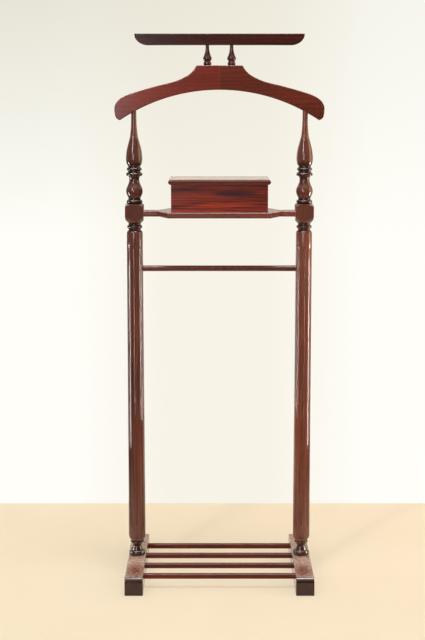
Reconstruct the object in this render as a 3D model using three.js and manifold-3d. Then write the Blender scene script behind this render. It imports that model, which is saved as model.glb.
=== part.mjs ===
// A clothes stand in red-brown lacquered hardwood: two turned and fluted posts on plain feet, four shoe
// rods, a trouser bar, a shelf with a small lidded box, a wide coat hanger and a straight rail on top.
//
// Units are millimetres. +X is to the right, +Y to the back and +Z up; the origin is on the floor,
// midway between the feet.
import * as THREE from "three";
import { ConvexGeometry } from "three/addons/geometries/ConvexGeometry.js";
import { mergeVertices } from "three/addons/utils/BufferGeometryUtils.js";
import Module from "manifold-3d";

const wasm = await Module();
wasm.setup();

// ---------------------------------------------------------------------------------------------
// Driving dimensions
// ---------------------------------------------------------------------------------------------

const seat = 0.3; // gap left at every glued or resting face
const slip = 0.3; // gap left all round a tenon, dowel, rod, pin or screw
const overrun = 1; // how far a cut runs on past the face it enters

// Feet: two plain blocks, rounded over at both ends
const footLength = 346;
const footWidth = 42;
const footHeight = 43;
const footNoseRadius = 14;
const footEdge = 2;

// Shoe rods between the feet
const rodCount = 4;
const rodRadius = 6.75;
const rodInset = 60; // outer rods from the ends of the feet
const rodDrop = 15.5; // below the top of the feet
const rodSocketDepth = 9;

// Posts: centre distance, and the turned mouldings from the foot up
const postSpacing = 392;
const footTenonRadius = 11;
const footTenonLength = 24;
const footBead = { height: 13.2, radius: 19.4, root: 14 };
const footNeck = { height: 17.8, radius: 10.2, lip: 14.5 };
const footCollar = { height: 3.7, radius: 16.3, root: 14.6 };
const columnFoot = { height: 15, groove: 14 };
const column = { height: 718.5, footRadius: 20, headRadius: 18.8 };
const columnHead = { height: 10.5 };
const grooveHeight = 3.6;
const grooveRadius = 14.4;
const lowerRing = { height: 8.5, radius: 17.8, root: 14.4 };
const throatHeight = 3.5;
const blockWidth = 42;
const blockHeight = 46;
const blockShoulder = 11; // turned shoulder under the block
const blockBrow = 3.5; // smaller turned shoulder over it
const upperRing = { height: 9, radius: 18.6, root: 14.4 };
const bulb = { height: 44.5, radius: 19.4, neck: 11.6 };
const bulbCollar = { height: 6, lip: 14.4 };
const wideRing = { height: 8.5, radius: 19.2, root: 15 };
const topRing = { height: 7.5, radius: 17.6, root: 14.2 };
const baluster = { height: 123, radius: 18.9, neck: 6 };
const postTenonRadius = 5;
const postTenonLength = 20;

// Flutes down each column
const fluteCount = 8;
const fluteWidth = 4;
const fluteDepth = 1.3;
const fluteStart = 24; // above the foot of the column
const fluteEnd = 28.5; // below its head

// Trouser bar between the columns
const barRadius = 6.75;
const barDrop = 78.5; // below the head of the column
const barSocketDepth = 12;

// Shelf between the blocks: narrow wings, wider in the middle where the box stands
const shelfThickness = 13;
const shelfRise = 17; // above the bottom of the blocks
const shelfDepth = 140; // of the wide middle
const wingLength = 56.7; // from the block to the wide middle
const wingDepth = 40;
const wingSweep = 24; // how far along the wing the edge sweeps out
const shelfEdge = 4;
const shelfTenonWidth = 28;
const shelfTenonLength = 10;

// Box on the shelf
const boxEndInset = 8; // from the ends of the shelf's wide middle
const boxSideInset = 7.5; // from its front and back edges
const boxHeight = 62.4;
const boxBoard = 9;
const boxHoleRadius = 1.3; // small hole in the middle of the front
const boxHoleDepth = 6;

// Lid: it oversails the box by a nosing on all four sides
const lidThickness = 12;
const lidGap = 0.4;
const nosing = 6.4;
const nosingHeight = 5.8; // of its tip, over the lid's underside
const nosingFoot = 2.8; // how far the flat underside oversails the box
const nosingBrow = 3.2; // how far the flat top oversails the box
const nosingRound = { inset: 0.7, rise: 2.3 }; // softens the tip of the nosing

// Hinges at the back of the lid
const hingeInset = 40; // middle of each hinge from the end of the box
const hingeLength = 32;
const hingeOffset = 0.5; // hinge axis behind the back of the box, so the lid leans just past upright
const knuckleRadius = 2.2;
const knuckleCount = 3;
const pinRadius = 0.9;
const knuckleRoot = 0.1; // how far a knuckle's root runs into its leaf
const leafThickness = 1;
const leafInset = 1.5; // from the inner face of the box's back
const hingeScrew = { head: 1.8, headDepth: 0.9, radius: 0.9, length: 8, spacing: 20 };
const hingeScrewSink = 0.1; // screw heads lie this far under the face of their leaf

// Hanger: two mirrored halves glued on the centre line, over two dowels
const archRadius = 412; // of its underside
const hangerThickness = 24;
const hangerOverhang = 43.5; // past the axis of each post
const hangerTip = { width: 27, height: 56.5, foot: 12 }; // its rounded end, and where the end meets the arch
const crownHeight = 55; // from the middle of the underside to the flat top
const crownHalfWidth = 52;
const hangerEdge = 2;
const hangerDowelRadius = 4;
const hangerDowelLength = 50;
const dowelShares = { lower: 0.255, upper: 0.545 }; // of the crown's height

// Spindles that carry the top rail
const spindleSpacing = 55;
const spindle = { height: 45.2, baseRadius: 9, grooveRadius: 7.4, bulbRadius: 10.2, neckRadius: 4 };
const spindleTenonRadius = 3.2;
const spindleTenonLength = 14;

// Top rail
const railLength = 385;
const railHeight = 25.4;
const railDepth = 30;
const railEndLength = 30; // of the rounded cut under each end
const railEndLip = 2.5;
const railEdge = 1.5;
const railPinRadius = 1.2;
const railPinDrop = 3.4; // below the end of the spindle's tenon

// Screws under the feet and the shelf
const footScrew = { head: 5, headDepth: 3.5, radius: 2.2, length: 38, recess: 1 };
const shelfScrew = { head: 3.2, headDepth: 2.2, radius: 1.5, length: 24, recess: 0.4, inset: 30 };

// Facets round a turned piece
const turnedSides = 16;
const rodSides = 12;
const smallSides = 8;

// ---------------------------------------------------------------------------------------------
// Heights and places that follow from them
// ---------------------------------------------------------------------------------------------

const postX = postSpacing / 2;
const rodSpacing = (footLength - 2 * rodInset) / (rodCount - 1);
const rodHeight = footHeight - rodDrop;
const postFoot = footHeight + seat;
const columnBottom = postFoot + footBead.height + footNeck.height + footCollar.height + columnFoot.height;
const columnTop = columnBottom + column.height;
const blockBottom = columnTop + columnHead.height + grooveHeight + lowerRing.height + throatHeight;
const blockTop = blockBottom + blockHeight;
const upperTurningHeight = upperRing.height + grooveHeight + bulb.height + bulbCollar.height
  + wideRing.height + grooveHeight + topRing.height + grooveHeight + baluster.height;
const postTop = blockTop + upperTurningHeight; // where the post's axis meets the hanger
const archDrop = (x) => archRadius - Math.sqrt(archRadius ** 2 - x ** 2);
const archTop = postTop + archDrop(postX); // middle of the hanger's underside
const crownTop = archTop + crownHeight;
const hangerHalfSpan = postX + hangerOverhang;
const railBottom = crownTop + spindle.height;
const railPinRise = spindleTenonLength - railPinDrop;
const shelfBottom = blockBottom + shelfRise;
const shelfTop = shelfBottom + shelfThickness;
const wingEnd = postX - blockWidth / 2 - seat;
const shelfLength = 2 * (wingEnd - wingLength);
const boxLength = shelfLength - 2 * boxEndInset;
const boxDepth = shelfDepth - 2 * boxSideInset;
const boxTop = shelfTop + boxHeight;
const barHeight = columnTop - barDrop;
const barSlope = (column.footRadius - column.headRadius) / column.height;
const columnRadiusAtBar = column.headRadius + barSlope * barDrop;
const hingeY = boxDepth / 2 + hingeOffset;
const hingeZ = boxTop + lidGap / 2;
const hingeX = boxLength / 2 - hingeInset;
const leafDepth = hingeOffset + boxBoard - leafInset;
const leafScrewDepth = hingeOffset + boxBoard / 2; // in front of the hinge axis, over the middle of the back

// ---------------------------------------------------------------------------------------------
// Solids from three.js geometry
// ---------------------------------------------------------------------------------------------

// A closed geometry as a solid that can be joined and cut.
function solid(geometry) {
  const bare = geometry.index ? geometry.toNonIndexed() : geometry.clone();
  bare.deleteAttribute("normal");
  bare.deleteAttribute("uv");
  const merged = mergeVertices(bare, 1e-4);
  const vertProperties = merged.attributes.position.array;
  const triVerts = new Uint32Array(merged.index.array);
  return new wasm.Manifold(new wasm.Mesh({ numProp: 3, vertProperties, triVerts }));
}

const join = (first, ...others) => others.reduce((whole, piece) => whole.add(piece), first);
const cut = (whole, ...tools) => tools.reduce((rest, tool) => rest.subtract(tool), whole);

// A box between two corners.
function block([x0, y0, z0], [x1, y1, z1]) {
  const geometry = new THREE.BoxGeometry(x1 - x0, y1 - y0, z1 - z0);
  return solid(geometry.translate((x0 + x1) / 2, (y0 + y1) / 2, (z0 + z1) / 2));
}

// A cylinder along one axis, through a point, from start to end on that axis.
function cylinder(axis, radius, start, end, through = [0, 0, 0], sides = rodSides) {
  const geometry = new THREE.CylinderGeometry(radius, radius, end - start, sides);
  const middle = (start + end) / 2;
  if (axis === "x") geometry.rotateZ(-Math.PI / 2).translate(middle, through[1], through[2]);
  if (axis === "y") geometry.translate(through[0], middle, through[2]);
  if (axis === "z") geometry.rotateX(Math.PI / 2).translate(through[0], through[1], middle);
  return solid(geometry);
}

// A turned piece on the z axis, from [height, radius] pairs that run upwards.
function turned(outline, sides = turnedSides) {
  const bottom = outline[0][0];
  const top = outline[outline.length - 1][0];
  const points = [[bottom, 0], ...outline, [top, 0]].map(([z, r]) => new THREE.Vector2(r, z));
  return solid(new THREE.LatheGeometry(points, sides).rotateX(Math.PI / 2));
}

// A board sawn to an outline of [a, b] pairs, its edges softened, centred on its own thickness.
function sawn(outline, thickness, edge) {
  const shape = new THREE.Shape(outline.map(([a, b]) => new THREE.Vector2(a, b)));
  const depth = thickness - 2 * edge;
  const bevel = { bevelThickness: edge, bevelSize: edge, bevelOffset: -edge, bevelSegments: 1 };
  return new THREE.ExtrudeGeometry(shape, { depth, steps: 1, ...bevel }).translate(0, 0, -depth / 2);
}

// Turns a sawn board's outline into the upright x-z plane, or into the upright y-z plane.
const facingFront = (geometry) => geometry.rotateX(Math.PI / 2);
const facingSide = (geometry) => geometry.rotateX(Math.PI / 2).rotateZ(Math.PI / 2);

// Points along a quarter or half ellipse, as [a, b] pairs.
function arc(centre, radii, from, to, steps) {
  const curve = new THREE.EllipseCurve(...centre, ...radii, from, to, to < from);
  return curve.getPoints(steps).map((p) => [p.x, p.y]);
}

// Points along a smooth curve through a few [a, b] pairs.
function flow(pairs, steps) {
  const curve = new THREE.SplineCurve(pairs.map(([a, b]) => new THREE.Vector2(a, b)));
  return curve.getPoints(steps).map((p) => [p.x, p.y]);
}

// A countersunk screw that points up, with its head's face at z = 0. The same outline, grown by a
// clearance, is the hole it sits in.
function screw(size, grown = 0, mouth = 0) {
  return turned([
    [-mouth, size.head + grown],
    [0, size.head + grown],
    [size.headDepth, size.radius + grown],
    [size.length + grown, size.radius + grown],
  ], smallSides);
}

// The same solid, moved.
function moved(made, x, y, z) {
  return solid(geometryOf(made).translate(x, y, z));
}

function geometryOf(made) {
  const { vertProperties, triVerts } = made.getMesh();
  const geometry = new THREE.BufferGeometry();
  geometry.setAttribute("position", new THREE.BufferAttribute(vertProperties, 3));
  geometry.setIndex(new THREE.BufferAttribute(triVerts, 1));
  return geometry;
}

// ---------------------------------------------------------------------------------------------
// Finishes
// ---------------------------------------------------------------------------------------------

const lacqueredWood = { color: 0x6a2a20, roughness: 0.28, metalness: 0 };
const boxWood = { color: 0x7c2c20, roughness: 0.32, metalness: 0 };
const railWood = { color: 0x4a211c, roughness: 0.3, metalness: 0 };
const brass = { color: 0xa98643, roughness: 0.4, metalness: 1 };
const steel = { color: 0x77756f, roughness: 0.45, metalness: 1 };

function piece(name, geometry, finish) {
  const mesh = new THREE.Mesh(geometry, new THREE.MeshStandardMaterial({ ...finish, flatShading: true }));
  mesh.name = name;
  return mesh;
}

// ---------------------------------------------------------------------------------------------
// Base: feet and shoe rods
// ---------------------------------------------------------------------------------------------

const rodY = (index) => (index - (rodCount - 1) / 2) * rodSpacing;

// The left foot, under its post at x = 0, with its inner face towards +x.
function footGeometry() {
  const end = footLength / 2;
  const noseY = end - footNoseRadius;
  const noseZ = footHeight - footNoseRadius;
  const nose = [footNoseRadius, footNoseRadius];
  const outline = [
    [-end, 0],
    [end, 0],
    ...arc([noseY, noseZ], nose, 0, Math.PI / 2, 5),
    ...arc([-noseY, noseZ], nose, Math.PI / 2, Math.PI, 5),
  ];
  const blank = solid(facingSide(sawn(outline, footWidth, footEdge)));
  const inner = footWidth / 2;
  const mortiseFloor = footHeight - footTenonLength - slip;
  const mortise = cylinder("z", footTenonRadius + slip, mortiseFloor, footHeight + overrun,
    [0, 0], turnedSides);
  const screwHole = moved(screw(footScrew, slip, footScrew.recess + overrun), 0, 0, footScrew.recess);
  const sockets = Array.from({ length: rodCount }, (_, i) =>
    cylinder("x", rodRadius + slip, inner - rodSocketDepth, inner + overrun, [0, rodY(i), rodHeight]));
  return geometryOf(cut(blank, mortise, screwHole, ...sockets));
}

function base() {
  const group = new THREE.Group();
  const foot = footGeometry();
  const left = piece("foot_left", foot, lacqueredWood);
  left.position.x = -postX;
  const right = piece("foot_right", foot, lacqueredWood);
  right.position.x = postX;
  right.rotation.z = Math.PI;
  group.add(left, right);

  const rodLength = postSpacing - footWidth + 2 * (rodSocketDepth - seat);
  const rod = geometryOf(cylinder("x", rodRadius, -rodLength / 2, rodLength / 2));
  for (let i = 0; i < rodCount; i++) {
    const mesh = piece(`shoe_rod_${i + 1}`, rod, lacqueredWood);
    mesh.position.set(0, rodY(i), rodHeight);
    group.add(mesh);
  }

  const screwGeometry = geometryOf(screw(footScrew));
  for (const [side, x] of [["left", -postX], ["right", postX]]) {
    const mesh = piece(`foot_screw_${side}`, screwGeometry, steel);
    mesh.position.set(x, 0, footScrew.recess);
    group.add(mesh);
  }
  return group;
}

// ---------------------------------------------------------------------------------------------
// Posts
// ---------------------------------------------------------------------------------------------

// Mouldings are lists of [rise, radius] pairs, each counted from the moulding's own foot. A flowing one
// is given by a few pairs whose rises are shares of its height.
const bead = ({ height, radius, root }) =>
  arc([height / 2, root], [height / 2, radius - root], Math.PI, 0, 4);
const groove = { height: grooveHeight, outline: [[0, grooveRadius], [grooveHeight, grooveRadius]] };
const moulding = (size, outline) => ({ height: size.height, outline });
const flowing = ({ height }, pairs, steps) => flow(pairs.map(([share, r]) => [share * height, r]), steps);

// Stacks mouldings upwards from a height, as one outline of [height, radius] pairs.
function stack(bottom, mouldings) {
  const outline = [];
  let foot = bottom;
  for (const { height, outline: steps } of mouldings) {
    outline.push(...steps.map(([rise, radius]) => [foot + rise, radius]));
    foot += height;
  }
  return outline;
}

function lowerTurning() {
  const neck = footNeck.radius;
  const neckFlow = flowing(footNeck, [
    [0, footBead.root],
    [0.34, neck + 1],
    [0.53, neck],
    [0.76, neck + 1.8],
    [1, footNeck.lip],
  ], 6);
  const footFlow = flowing(columnFoot, [
    [0, columnFoot.groove],
    [0.27, column.footRadius - 3.8],
    [0.6, column.footRadius - 1],
    [1, column.footRadius],
  ], 5);
  const headFlow = flowing(columnHead, [
    [0, column.headRadius],
    [0.48, column.headRadius - 0.4],
    [0.76, column.headRadius - 1.4],
    [1, grooveRadius],
  ], 5);
  const throat = [[0, lowerRing.root], [throatHeight + overrun, lowerRing.root]];
  return stack(postFoot, [
    moulding(footBead, bead(footBead)),
    moulding(footNeck, neckFlow),
    moulding(footCollar, bead(footCollar)),
    moulding(columnFoot, footFlow),
    moulding(column, []),
    moulding(columnHead, headFlow),
    groove,
    moulding(lowerRing, bead(lowerRing)),
    { height: throatHeight, outline: throat },
  ]);
}

function upperTurning() {
  const bulbFlow = flowing(bulb, [
    [0, grooveRadius - 0.6],
    [0.135, bulb.radius - 2.4],
    [0.315, bulb.radius],
    [0.495, bulb.radius - 0.9],
    [0.675, bulb.radius - 4.4],
    [0.855, bulb.neck + 0.5],
    [1, bulb.neck],
  ], 9);
  const collarFlow = flowing(bulbCollar, [
    [0, bulb.neck],
    [0.58, bulb.neck + 1],
    [1, bulbCollar.lip],
  ], 3);
  const neck = baluster.neck;
  const balusterFlow = flowing(baluster, [
    [0, topRing.root],
    [0.03, baluster.radius - 1.9],
    [0.1, baluster.radius - 0.1],
    [0.195, baluster.radius - 0.2],
    [0.31, baluster.radius - 2.2],
    [0.425, neck + 7],
    [0.535, neck + 3.4],
    [0.65, neck + 1.6],
    [0.78, neck + 0.4],
    [1, neck],
  ], 12);
  return stack(blockTop, [
    moulding(upperRing, [[-overrun, upperRing.root], ...bead(upperRing)]),
    groove,
    moulding(bulb, bulbFlow),
    moulding(bulbCollar, collarFlow),
    moulding(wideRing, bead(wideRing)),
    groove,
    moulding(topRing, bead(topRing)),
    groove,
    moulding(baluster, balusterFlow),
  ]);
}

// The square block between the turned parts: its corners are turned away at the top and the bottom.
function squareBlock() {
  const half = blockWidth / 2;
  const corner = half * Math.SQRT2;
  const shoulderRise = blockShoulder / 2;
  const turnedCorners = turned([
    [blockBottom, lowerRing.root],
    [blockBottom + shoulderRise, half - 1],
    [blockBottom + blockShoulder, half + 3.5],
    [blockBottom + blockShoulder + shoulderRise, corner + 1],
    [blockTop - 2 * blockBrow, corner + 1],
    [blockTop - blockBrow / 2, half + 1],
    [blockTop, half - 2],
  ]);
  return block([-half, -half, blockBottom], [half, half, blockTop]).intersect(turnedCorners);
}

// One round-nosed cutter along the column, tilted to follow its taper, for the flute at +x.
function fluteCutter() {
  const radius = (fluteWidth ** 2 / 4 + fluteDepth ** 2) / (2 * fluteDepth);
  const length = column.height - fluteStart - fluteEnd - 2 * radius;
  const taper = Math.atan2(column.footRadius - column.headRadius, column.height);
  const middle = columnBottom + fluteStart + radius + length / 2;
  const share = (middle - columnBottom) / column.height;
  const surface = THREE.MathUtils.lerp(column.footRadius, column.headRadius, share);
  return new THREE.CapsuleGeometry(radius, length, 1, 6)
    .rotateX(Math.PI / 2)
    .rotateY(-taper)
    .translate(surface - fluteDepth + radius, 0, middle);
}

// The left post on the z axis, with the trouser bar and the shelf towards +x.
function postGeometry() {
  const reach = 8; // the neck runs on into the hanger, and is cut back to its underside
  const turning = turned([...upperTurning(), [postTop + reach, baluster.neck]]);
  const underside = moved(hangerBlank(), postX, 0, -seat);
  const body = join(turned(lowerTurning()), squareBlock(), cut(turning, underside));
  const mortiseDepth = blockWidth / 2 - shelfTenonLength - slip;
  const barSocket = columnRadiusAtBar - barSocketDepth;
  const pilot = footScrew.recess + footScrew.length + 2 * slip;
  const cuts = [
    cylinder("x", barRadius + slip, barSocket, column.footRadius + overrun, [0, 0, barHeight]),
    block(
      [mortiseDepth, -shelfTenonWidth / 2 - slip, shelfBottom - slip],
      [blockWidth / 2 + overrun, shelfTenonWidth / 2 + slip, shelfTop + slip],
    ),
  ];
  for (let i = 0; i < fluteCount; i++) {
    cuts.push(solid(fluteCutter().rotateZ((i * 2 * Math.PI) / fluteCount)));
  }
  const footTenonBottom = footHeight - footTenonLength;
  const footTenon = cylinder("z", footTenonRadius, footTenonBottom, postFoot + overrun,
    [0, 0], turnedSides);
  const screwHole = cylinder("z", footScrew.radius + slip, 0, pilot, [0, 0], smallSides);
  const tenonTop = postTop + postTenonLength;
  const tenon = cylinder("z", postTenonRadius, postTop - reach, tenonTop, [0, 0], turnedSides);
  return geometryOf(join(cut(body, ...cuts), cut(footTenon, screwHole), tenon).subtract(screwHole));
}

function posts() {
  const group = new THREE.Group();
  const post = postGeometry();
  const left = piece("post_left", post, lacqueredWood);
  left.position.x = -postX;
  const right = piece("post_right", post, lacqueredWood);
  right.position.x = postX;
  right.rotation.z = Math.PI;

  const barReach = postX - columnRadiusAtBar + barSocketDepth - seat;
  const bar = piece("trouser_bar", geometryOf(cylinder("x", barRadius, -barReach, barReach)), lacqueredWood);
  bar.position.z = barHeight;
  group.add(left, right, bar);
  return group;
}

// ---------------------------------------------------------------------------------------------
// Hanger, spindles and top rail
// ---------------------------------------------------------------------------------------------

// The whole hanger before it is drilled and halved. The shoulder falls from the crown by shares of its
// run and its fall, and the tip curls down by shares of its own width and height.
function hangerBlank() {
  const tipX = hangerHalfSpan;
  const footX = tipX - hangerTip.foot;
  const footZ = -archDrop(footX);
  const run = tipX - hangerTip.width - crownHalfWidth;
  const fall = crownHeight - footZ - hangerTip.height;
  const slope = [[0, 0], [0.056, 0.194], [0.143, 0.358], [0.31, 0.537], [0.567, 0.692], [0.822, 0.858]];
  const tip = [[1, 1], [0.41, 0.832], [0.093, 0.646], [0, 0.451], [0.056, 0.186], [0.185, 0.062]];
  const shoulder = flow([
    ...slope.map(([out, down]) => [crownHalfWidth + out * run, crownHeight - down * fall]),
    ...tip.map(([inset, rise]) => [tipX - inset * hangerTip.width, footZ + rise * hangerTip.height]),
    [footX, footZ],
  ], 22);
  const start = Math.acos((footX - hangerEdge) / archRadius);
  const underside = arc([0, -archRadius], [archRadius, archRadius], start, Math.PI - start, 16);
  const left = [...shoulder].reverse().map(([x, z]) => [-x, z]);
  const outline = [[0, crownHeight], ...shoulder, ...underside, ...left].reverse();
  return solid(facingFront(sawn(outline, hangerThickness, hangerEdge)).translate(0, 0, archTop));
}

// The left half, drilled for its dowels, its post and its spindle.
function hangerHalfGeometry() {
  const blank = hangerBlank();
  const dowelEnd = -hangerDowelLength / 2 - slip;
  const dowelHoles = Object.values(dowelShares).map((share) =>
    cylinder("x", hangerDowelRadius + slip, dowelEnd, overrun,
      [0, 0, archTop + share * crownHeight], smallSides));
  const postHole = cylinder("z", postTenonRadius + slip, archTop - crownHeight - archDrop(postX),
    postTop + postTenonLength + slip, [-postX, 0], turnedSides);
  const spindleHole = cylinder("z", spindleTenonRadius + slip, crownTop - spindleTenonLength - slip,
    crownTop + overrun, [-spindleSpacing / 2, 0], smallSides);
  const otherHalf = block(
    [-seat / 2, -hangerThickness, archTop - archRadius],
    [hangerHalfSpan + overrun, hangerThickness, crownTop + overrun],
  );
  return geometryOf(cut(blank, ...dowelHoles, postHole, spindleHole, otherHalf));
}

function spindleGeometry() {
  const { height, baseRadius, grooveRadius: waist, bulbRadius, neckRadius } = spindle;
  const base = [
    [0, baseRadius - 0.6],
    [0.065, baseRadius],
    [0.145, baseRadius - 0.2],
    [0.175, waist],
  ];
  const bulbAndNeck = [
    [0.21, waist],
    [0.285, bulbRadius - 0.6],
    [0.355, bulbRadius],
    [0.44, bulbRadius - 1.6],
    [0.6, neckRadius + 2],
    [0.77, neckRadius + 0.5],
    [1, neckRadius],
  ];
  const body = turned(stack(seat, [
    { height: 0, outline: base.map(([share, radius]) => [share * (height - 2 * seat), radius]) },
    { height: 0, outline: flowing({ height: height - 2 * seat }, bulbAndNeck, 9) },
  ]), rodSides);
  const tenon = cylinder("z", spindleTenonRadius, -spindleTenonLength, height + spindleTenonLength,
    [0, 0], smallSides);
  const pinHole = cylinder("y", railPinRadius + slip, -bulbRadius, railPinRadius,
    [0, 0, height + railPinRise], smallSides);
  return geometryOf(cut(join(body, tenon), pinHole));
}

function railGeometry() {
  const end = railLength / 2;
  const lip = railHeight - railEndLip;
  const round = [railEndLength, lip];
  const centre = end - railEndLength;
  const outline = [
    ...arc([-centre, lip], round, Math.PI, 1.5 * Math.PI, 8),
    ...arc([centre, lip], round, 1.5 * Math.PI, 2 * Math.PI, 8),
    [end, railHeight],
    [-end, railHeight],
  ];
  const blank = solid(facingFront(sawn(outline, railDepth, railEdge)));
  const holes = [-spindleSpacing / 2, spindleSpacing / 2].flatMap((x) => [
    cylinder("z", spindleTenonRadius + slip, -overrun, spindleTenonLength + slip, [x, 0], smallSides),
    cylinder("y", railPinRadius + slip, -railDepth, 0, [x, 0, railPinRise], smallSides),
  ]);
  return geometryOf(cut(blank, ...holes));
}

function hanger() {
  const group = new THREE.Group();
  const half = hangerHalfGeometry();
  const right = piece("hanger_right_half", half, lacqueredWood);
  right.rotation.z = Math.PI;
  group.add(piece("hanger_left_half", half, lacqueredWood), right);

  const dowelReach = hangerDowelLength / 2;
  const dowel = geometryOf(cylinder("x", hangerDowelRadius, -dowelReach, dowelReach, [0, 0, 0], smallSides));
  for (const [name, share] of Object.entries(dowelShares)) {
    const mesh = piece(`hanger_dowel_${name}`, dowel, lacqueredWood);
    mesh.position.z = archTop + share * crownHeight;
    group.add(mesh);
  }

  const turnedSpindle = spindleGeometry();
  const pin = geometryOf(cylinder("y", railPinRadius, -railDepth / 2 + seat, 0, [0, 0, 0], smallSides));
  for (const [side, x] of [["left", -spindleSpacing / 2], ["right", spindleSpacing / 2]]) {
    const spindleMesh = piece(`rail_spindle_${side}`, turnedSpindle, lacqueredWood);
    spindleMesh.position.set(x, 0, crownTop);
    const pinMesh = piece(`rail_pin_${side}`, pin, steel);
    pinMesh.position.set(x, 0, railBottom + railPinRise);
    group.add(spindleMesh, pinMesh);
  }

  const rail = piece("top_rail", railGeometry(), railWood);
  rail.position.z = railBottom;
  group.add(rail);
  return group;
}

// ---------------------------------------------------------------------------------------------
// Shelf
// ---------------------------------------------------------------------------------------------

const shelfScrewPlaces = [-1, 1].flatMap((sideX) =>
  [-1, 1].map((sideY) => [
    sideX * (boxLength / 2 - shelfScrew.inset),
    sideY * (boxDepth - boxBoard) / 2,
  ]));

function shelfGeometry() {
  const middle = shelfLength / 2;
  const sweep = flow([
    [middle, shelfDepth / 2],
    [middle + 0.42 * wingSweep, 0.6 * shelfDepth / 2 + 0.4 * wingDepth / 2],
    [middle + wingSweep, wingDepth / 2],
  ], 5);
  const quarter = [...sweep, [wingEnd, wingDepth / 2]];
  const mirror = (points, sx, sy) => points.map(([x, y]) => [sx * x, sy * y]);
  const outline = [
    ...mirror(quarter, 1, 1).reverse(),
    ...mirror(quarter, -1, 1),
    ...mirror(quarter, -1, -1).reverse(),
    ...mirror(quarter, 1, -1),
  ];
  const board = solid(sawn(outline, shelfThickness, shelfEdge).translate(0, 0, shelfThickness / 2));
  const tenonEnd = wingEnd + shelfTenonLength;
  const tenons = block(
    [-tenonEnd, -shelfTenonWidth / 2, 0],
    [tenonEnd, shelfTenonWidth / 2, shelfThickness],
  );
  const holes = shelfScrewPlaces.map(([x, y]) =>
    moved(screw(shelfScrew, slip, shelfScrew.recess + overrun), x, y, shelfScrew.recess));
  return geometryOf(cut(join(board, tenons), ...holes));
}

function shelf() {
  const group = new THREE.Group();
  group.position.z = shelfBottom;
  group.add(piece("shelf", shelfGeometry(), lacqueredWood));
  const screwGeometry = geometryOf(screw(shelfScrew));
  shelfScrewPlaces.forEach(([x, y], i) => {
    const mesh = piece(`shelf_screw_${i + 1}`, screwGeometry, steel);
    mesh.position.set(x, y, shelfScrew.recess);
    group.add(mesh);
  });
  return group;
}

// ---------------------------------------------------------------------------------------------
// Box, lid and hinges
// ---------------------------------------------------------------------------------------------

const hingePlaces = [["left", -hingeX], ["right", hingeX]];
const hingeScrewXs = [-hingeScrew.spacing / 2, hingeScrew.spacing / 2];

// What a hinge needs cut away, about its own axis: the round of the knuckles, and a recess for a leaf
// that lies on the side of the joint that `up` gives, with its screw holes.
function hingeCuts(x, up) {
  const reach = hingeLength / 2 + slip;
  const round = cylinder("x", knuckleRadius + slip, x - reach, x + reach, [0, 0, 0], smallSides);
  const face = up * lidGap / 2;
  const floor = face + up * (leafThickness + slip);
  const recess = block(
    [x - reach, -leafDepth - slip, Math.min(0, floor)],
    [x + reach, 0, Math.max(0, floor)],
  );
  const holeEnd = up * (lidGap / 2 + hingeScrewSink + hingeScrew.length + slip);
  const holes = hingeScrewXs.map((screwX) =>
    cylinder("z", hingeScrew.radius + slip, Math.min(0, holeEnd), Math.max(0, holeEnd),
      [x + screwX, -leafScrewDepth], smallSides));
  return [round, recess, ...holes];
}

function boxWalls() {
  const group = new THREE.Group();
  group.position.z = shelfTop + seat;
  const height = boxHeight - seat;
  const inner = boxDepth / 2 - boxBoard;
  const panel = (length, thickness) => block(
    [-length / 2, -thickness / 2, 0],
    [length / 2, thickness / 2, height],
  );
  const wallY = (boxDepth - boxBoard) / 2;
  const pilotEnd = shelfScrew.recess + shelfScrew.length - shelfThickness + slip;
  const pilotHoles = shelfScrewPlaces.filter(([, y]) => y > 0).map(([x]) =>
    cylinder("z", shelfScrew.radius + slip, -overrun, pilotEnd, [x, 0], smallSides));

  const centreHole = cylinder("y", boxHoleRadius, -boxBoard, boxHoleDepth - boxBoard / 2,
    [0, 0, height / 2], smallSides);
  const front = piece("box_front",
    geometryOf(cut(panel(boxLength, boxBoard), centreHole, ...pilotHoles)), boxWood);
  front.position.y = -wallY;

  const hingeRecesses = hingePlaces.flatMap(([, x]) =>
    hingeCuts(x, -1).map((tool) => moved(tool, 0, hingeY - wallY, hingeZ - shelfTop - seat)));
  const back = piece("box_back",
    geometryOf(cut(panel(boxLength, boxBoard), ...pilotHoles, ...hingeRecesses)), boxWood);
  back.position.y = wallY;
  group.add(front, back);

  const side = geometryOf(panel(2 * (inner - seat), boxBoard));
  for (const [name, x] of [["left", -1], ["right", 1]]) {
    const mesh = piece(`box_${name}_side`, side, boxWood);
    mesh.rotation.z = Math.PI / 2;
    mesh.position.x = x * (boxLength - boxBoard) / 2;
    group.add(mesh);
  }
  return group;
}

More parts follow.
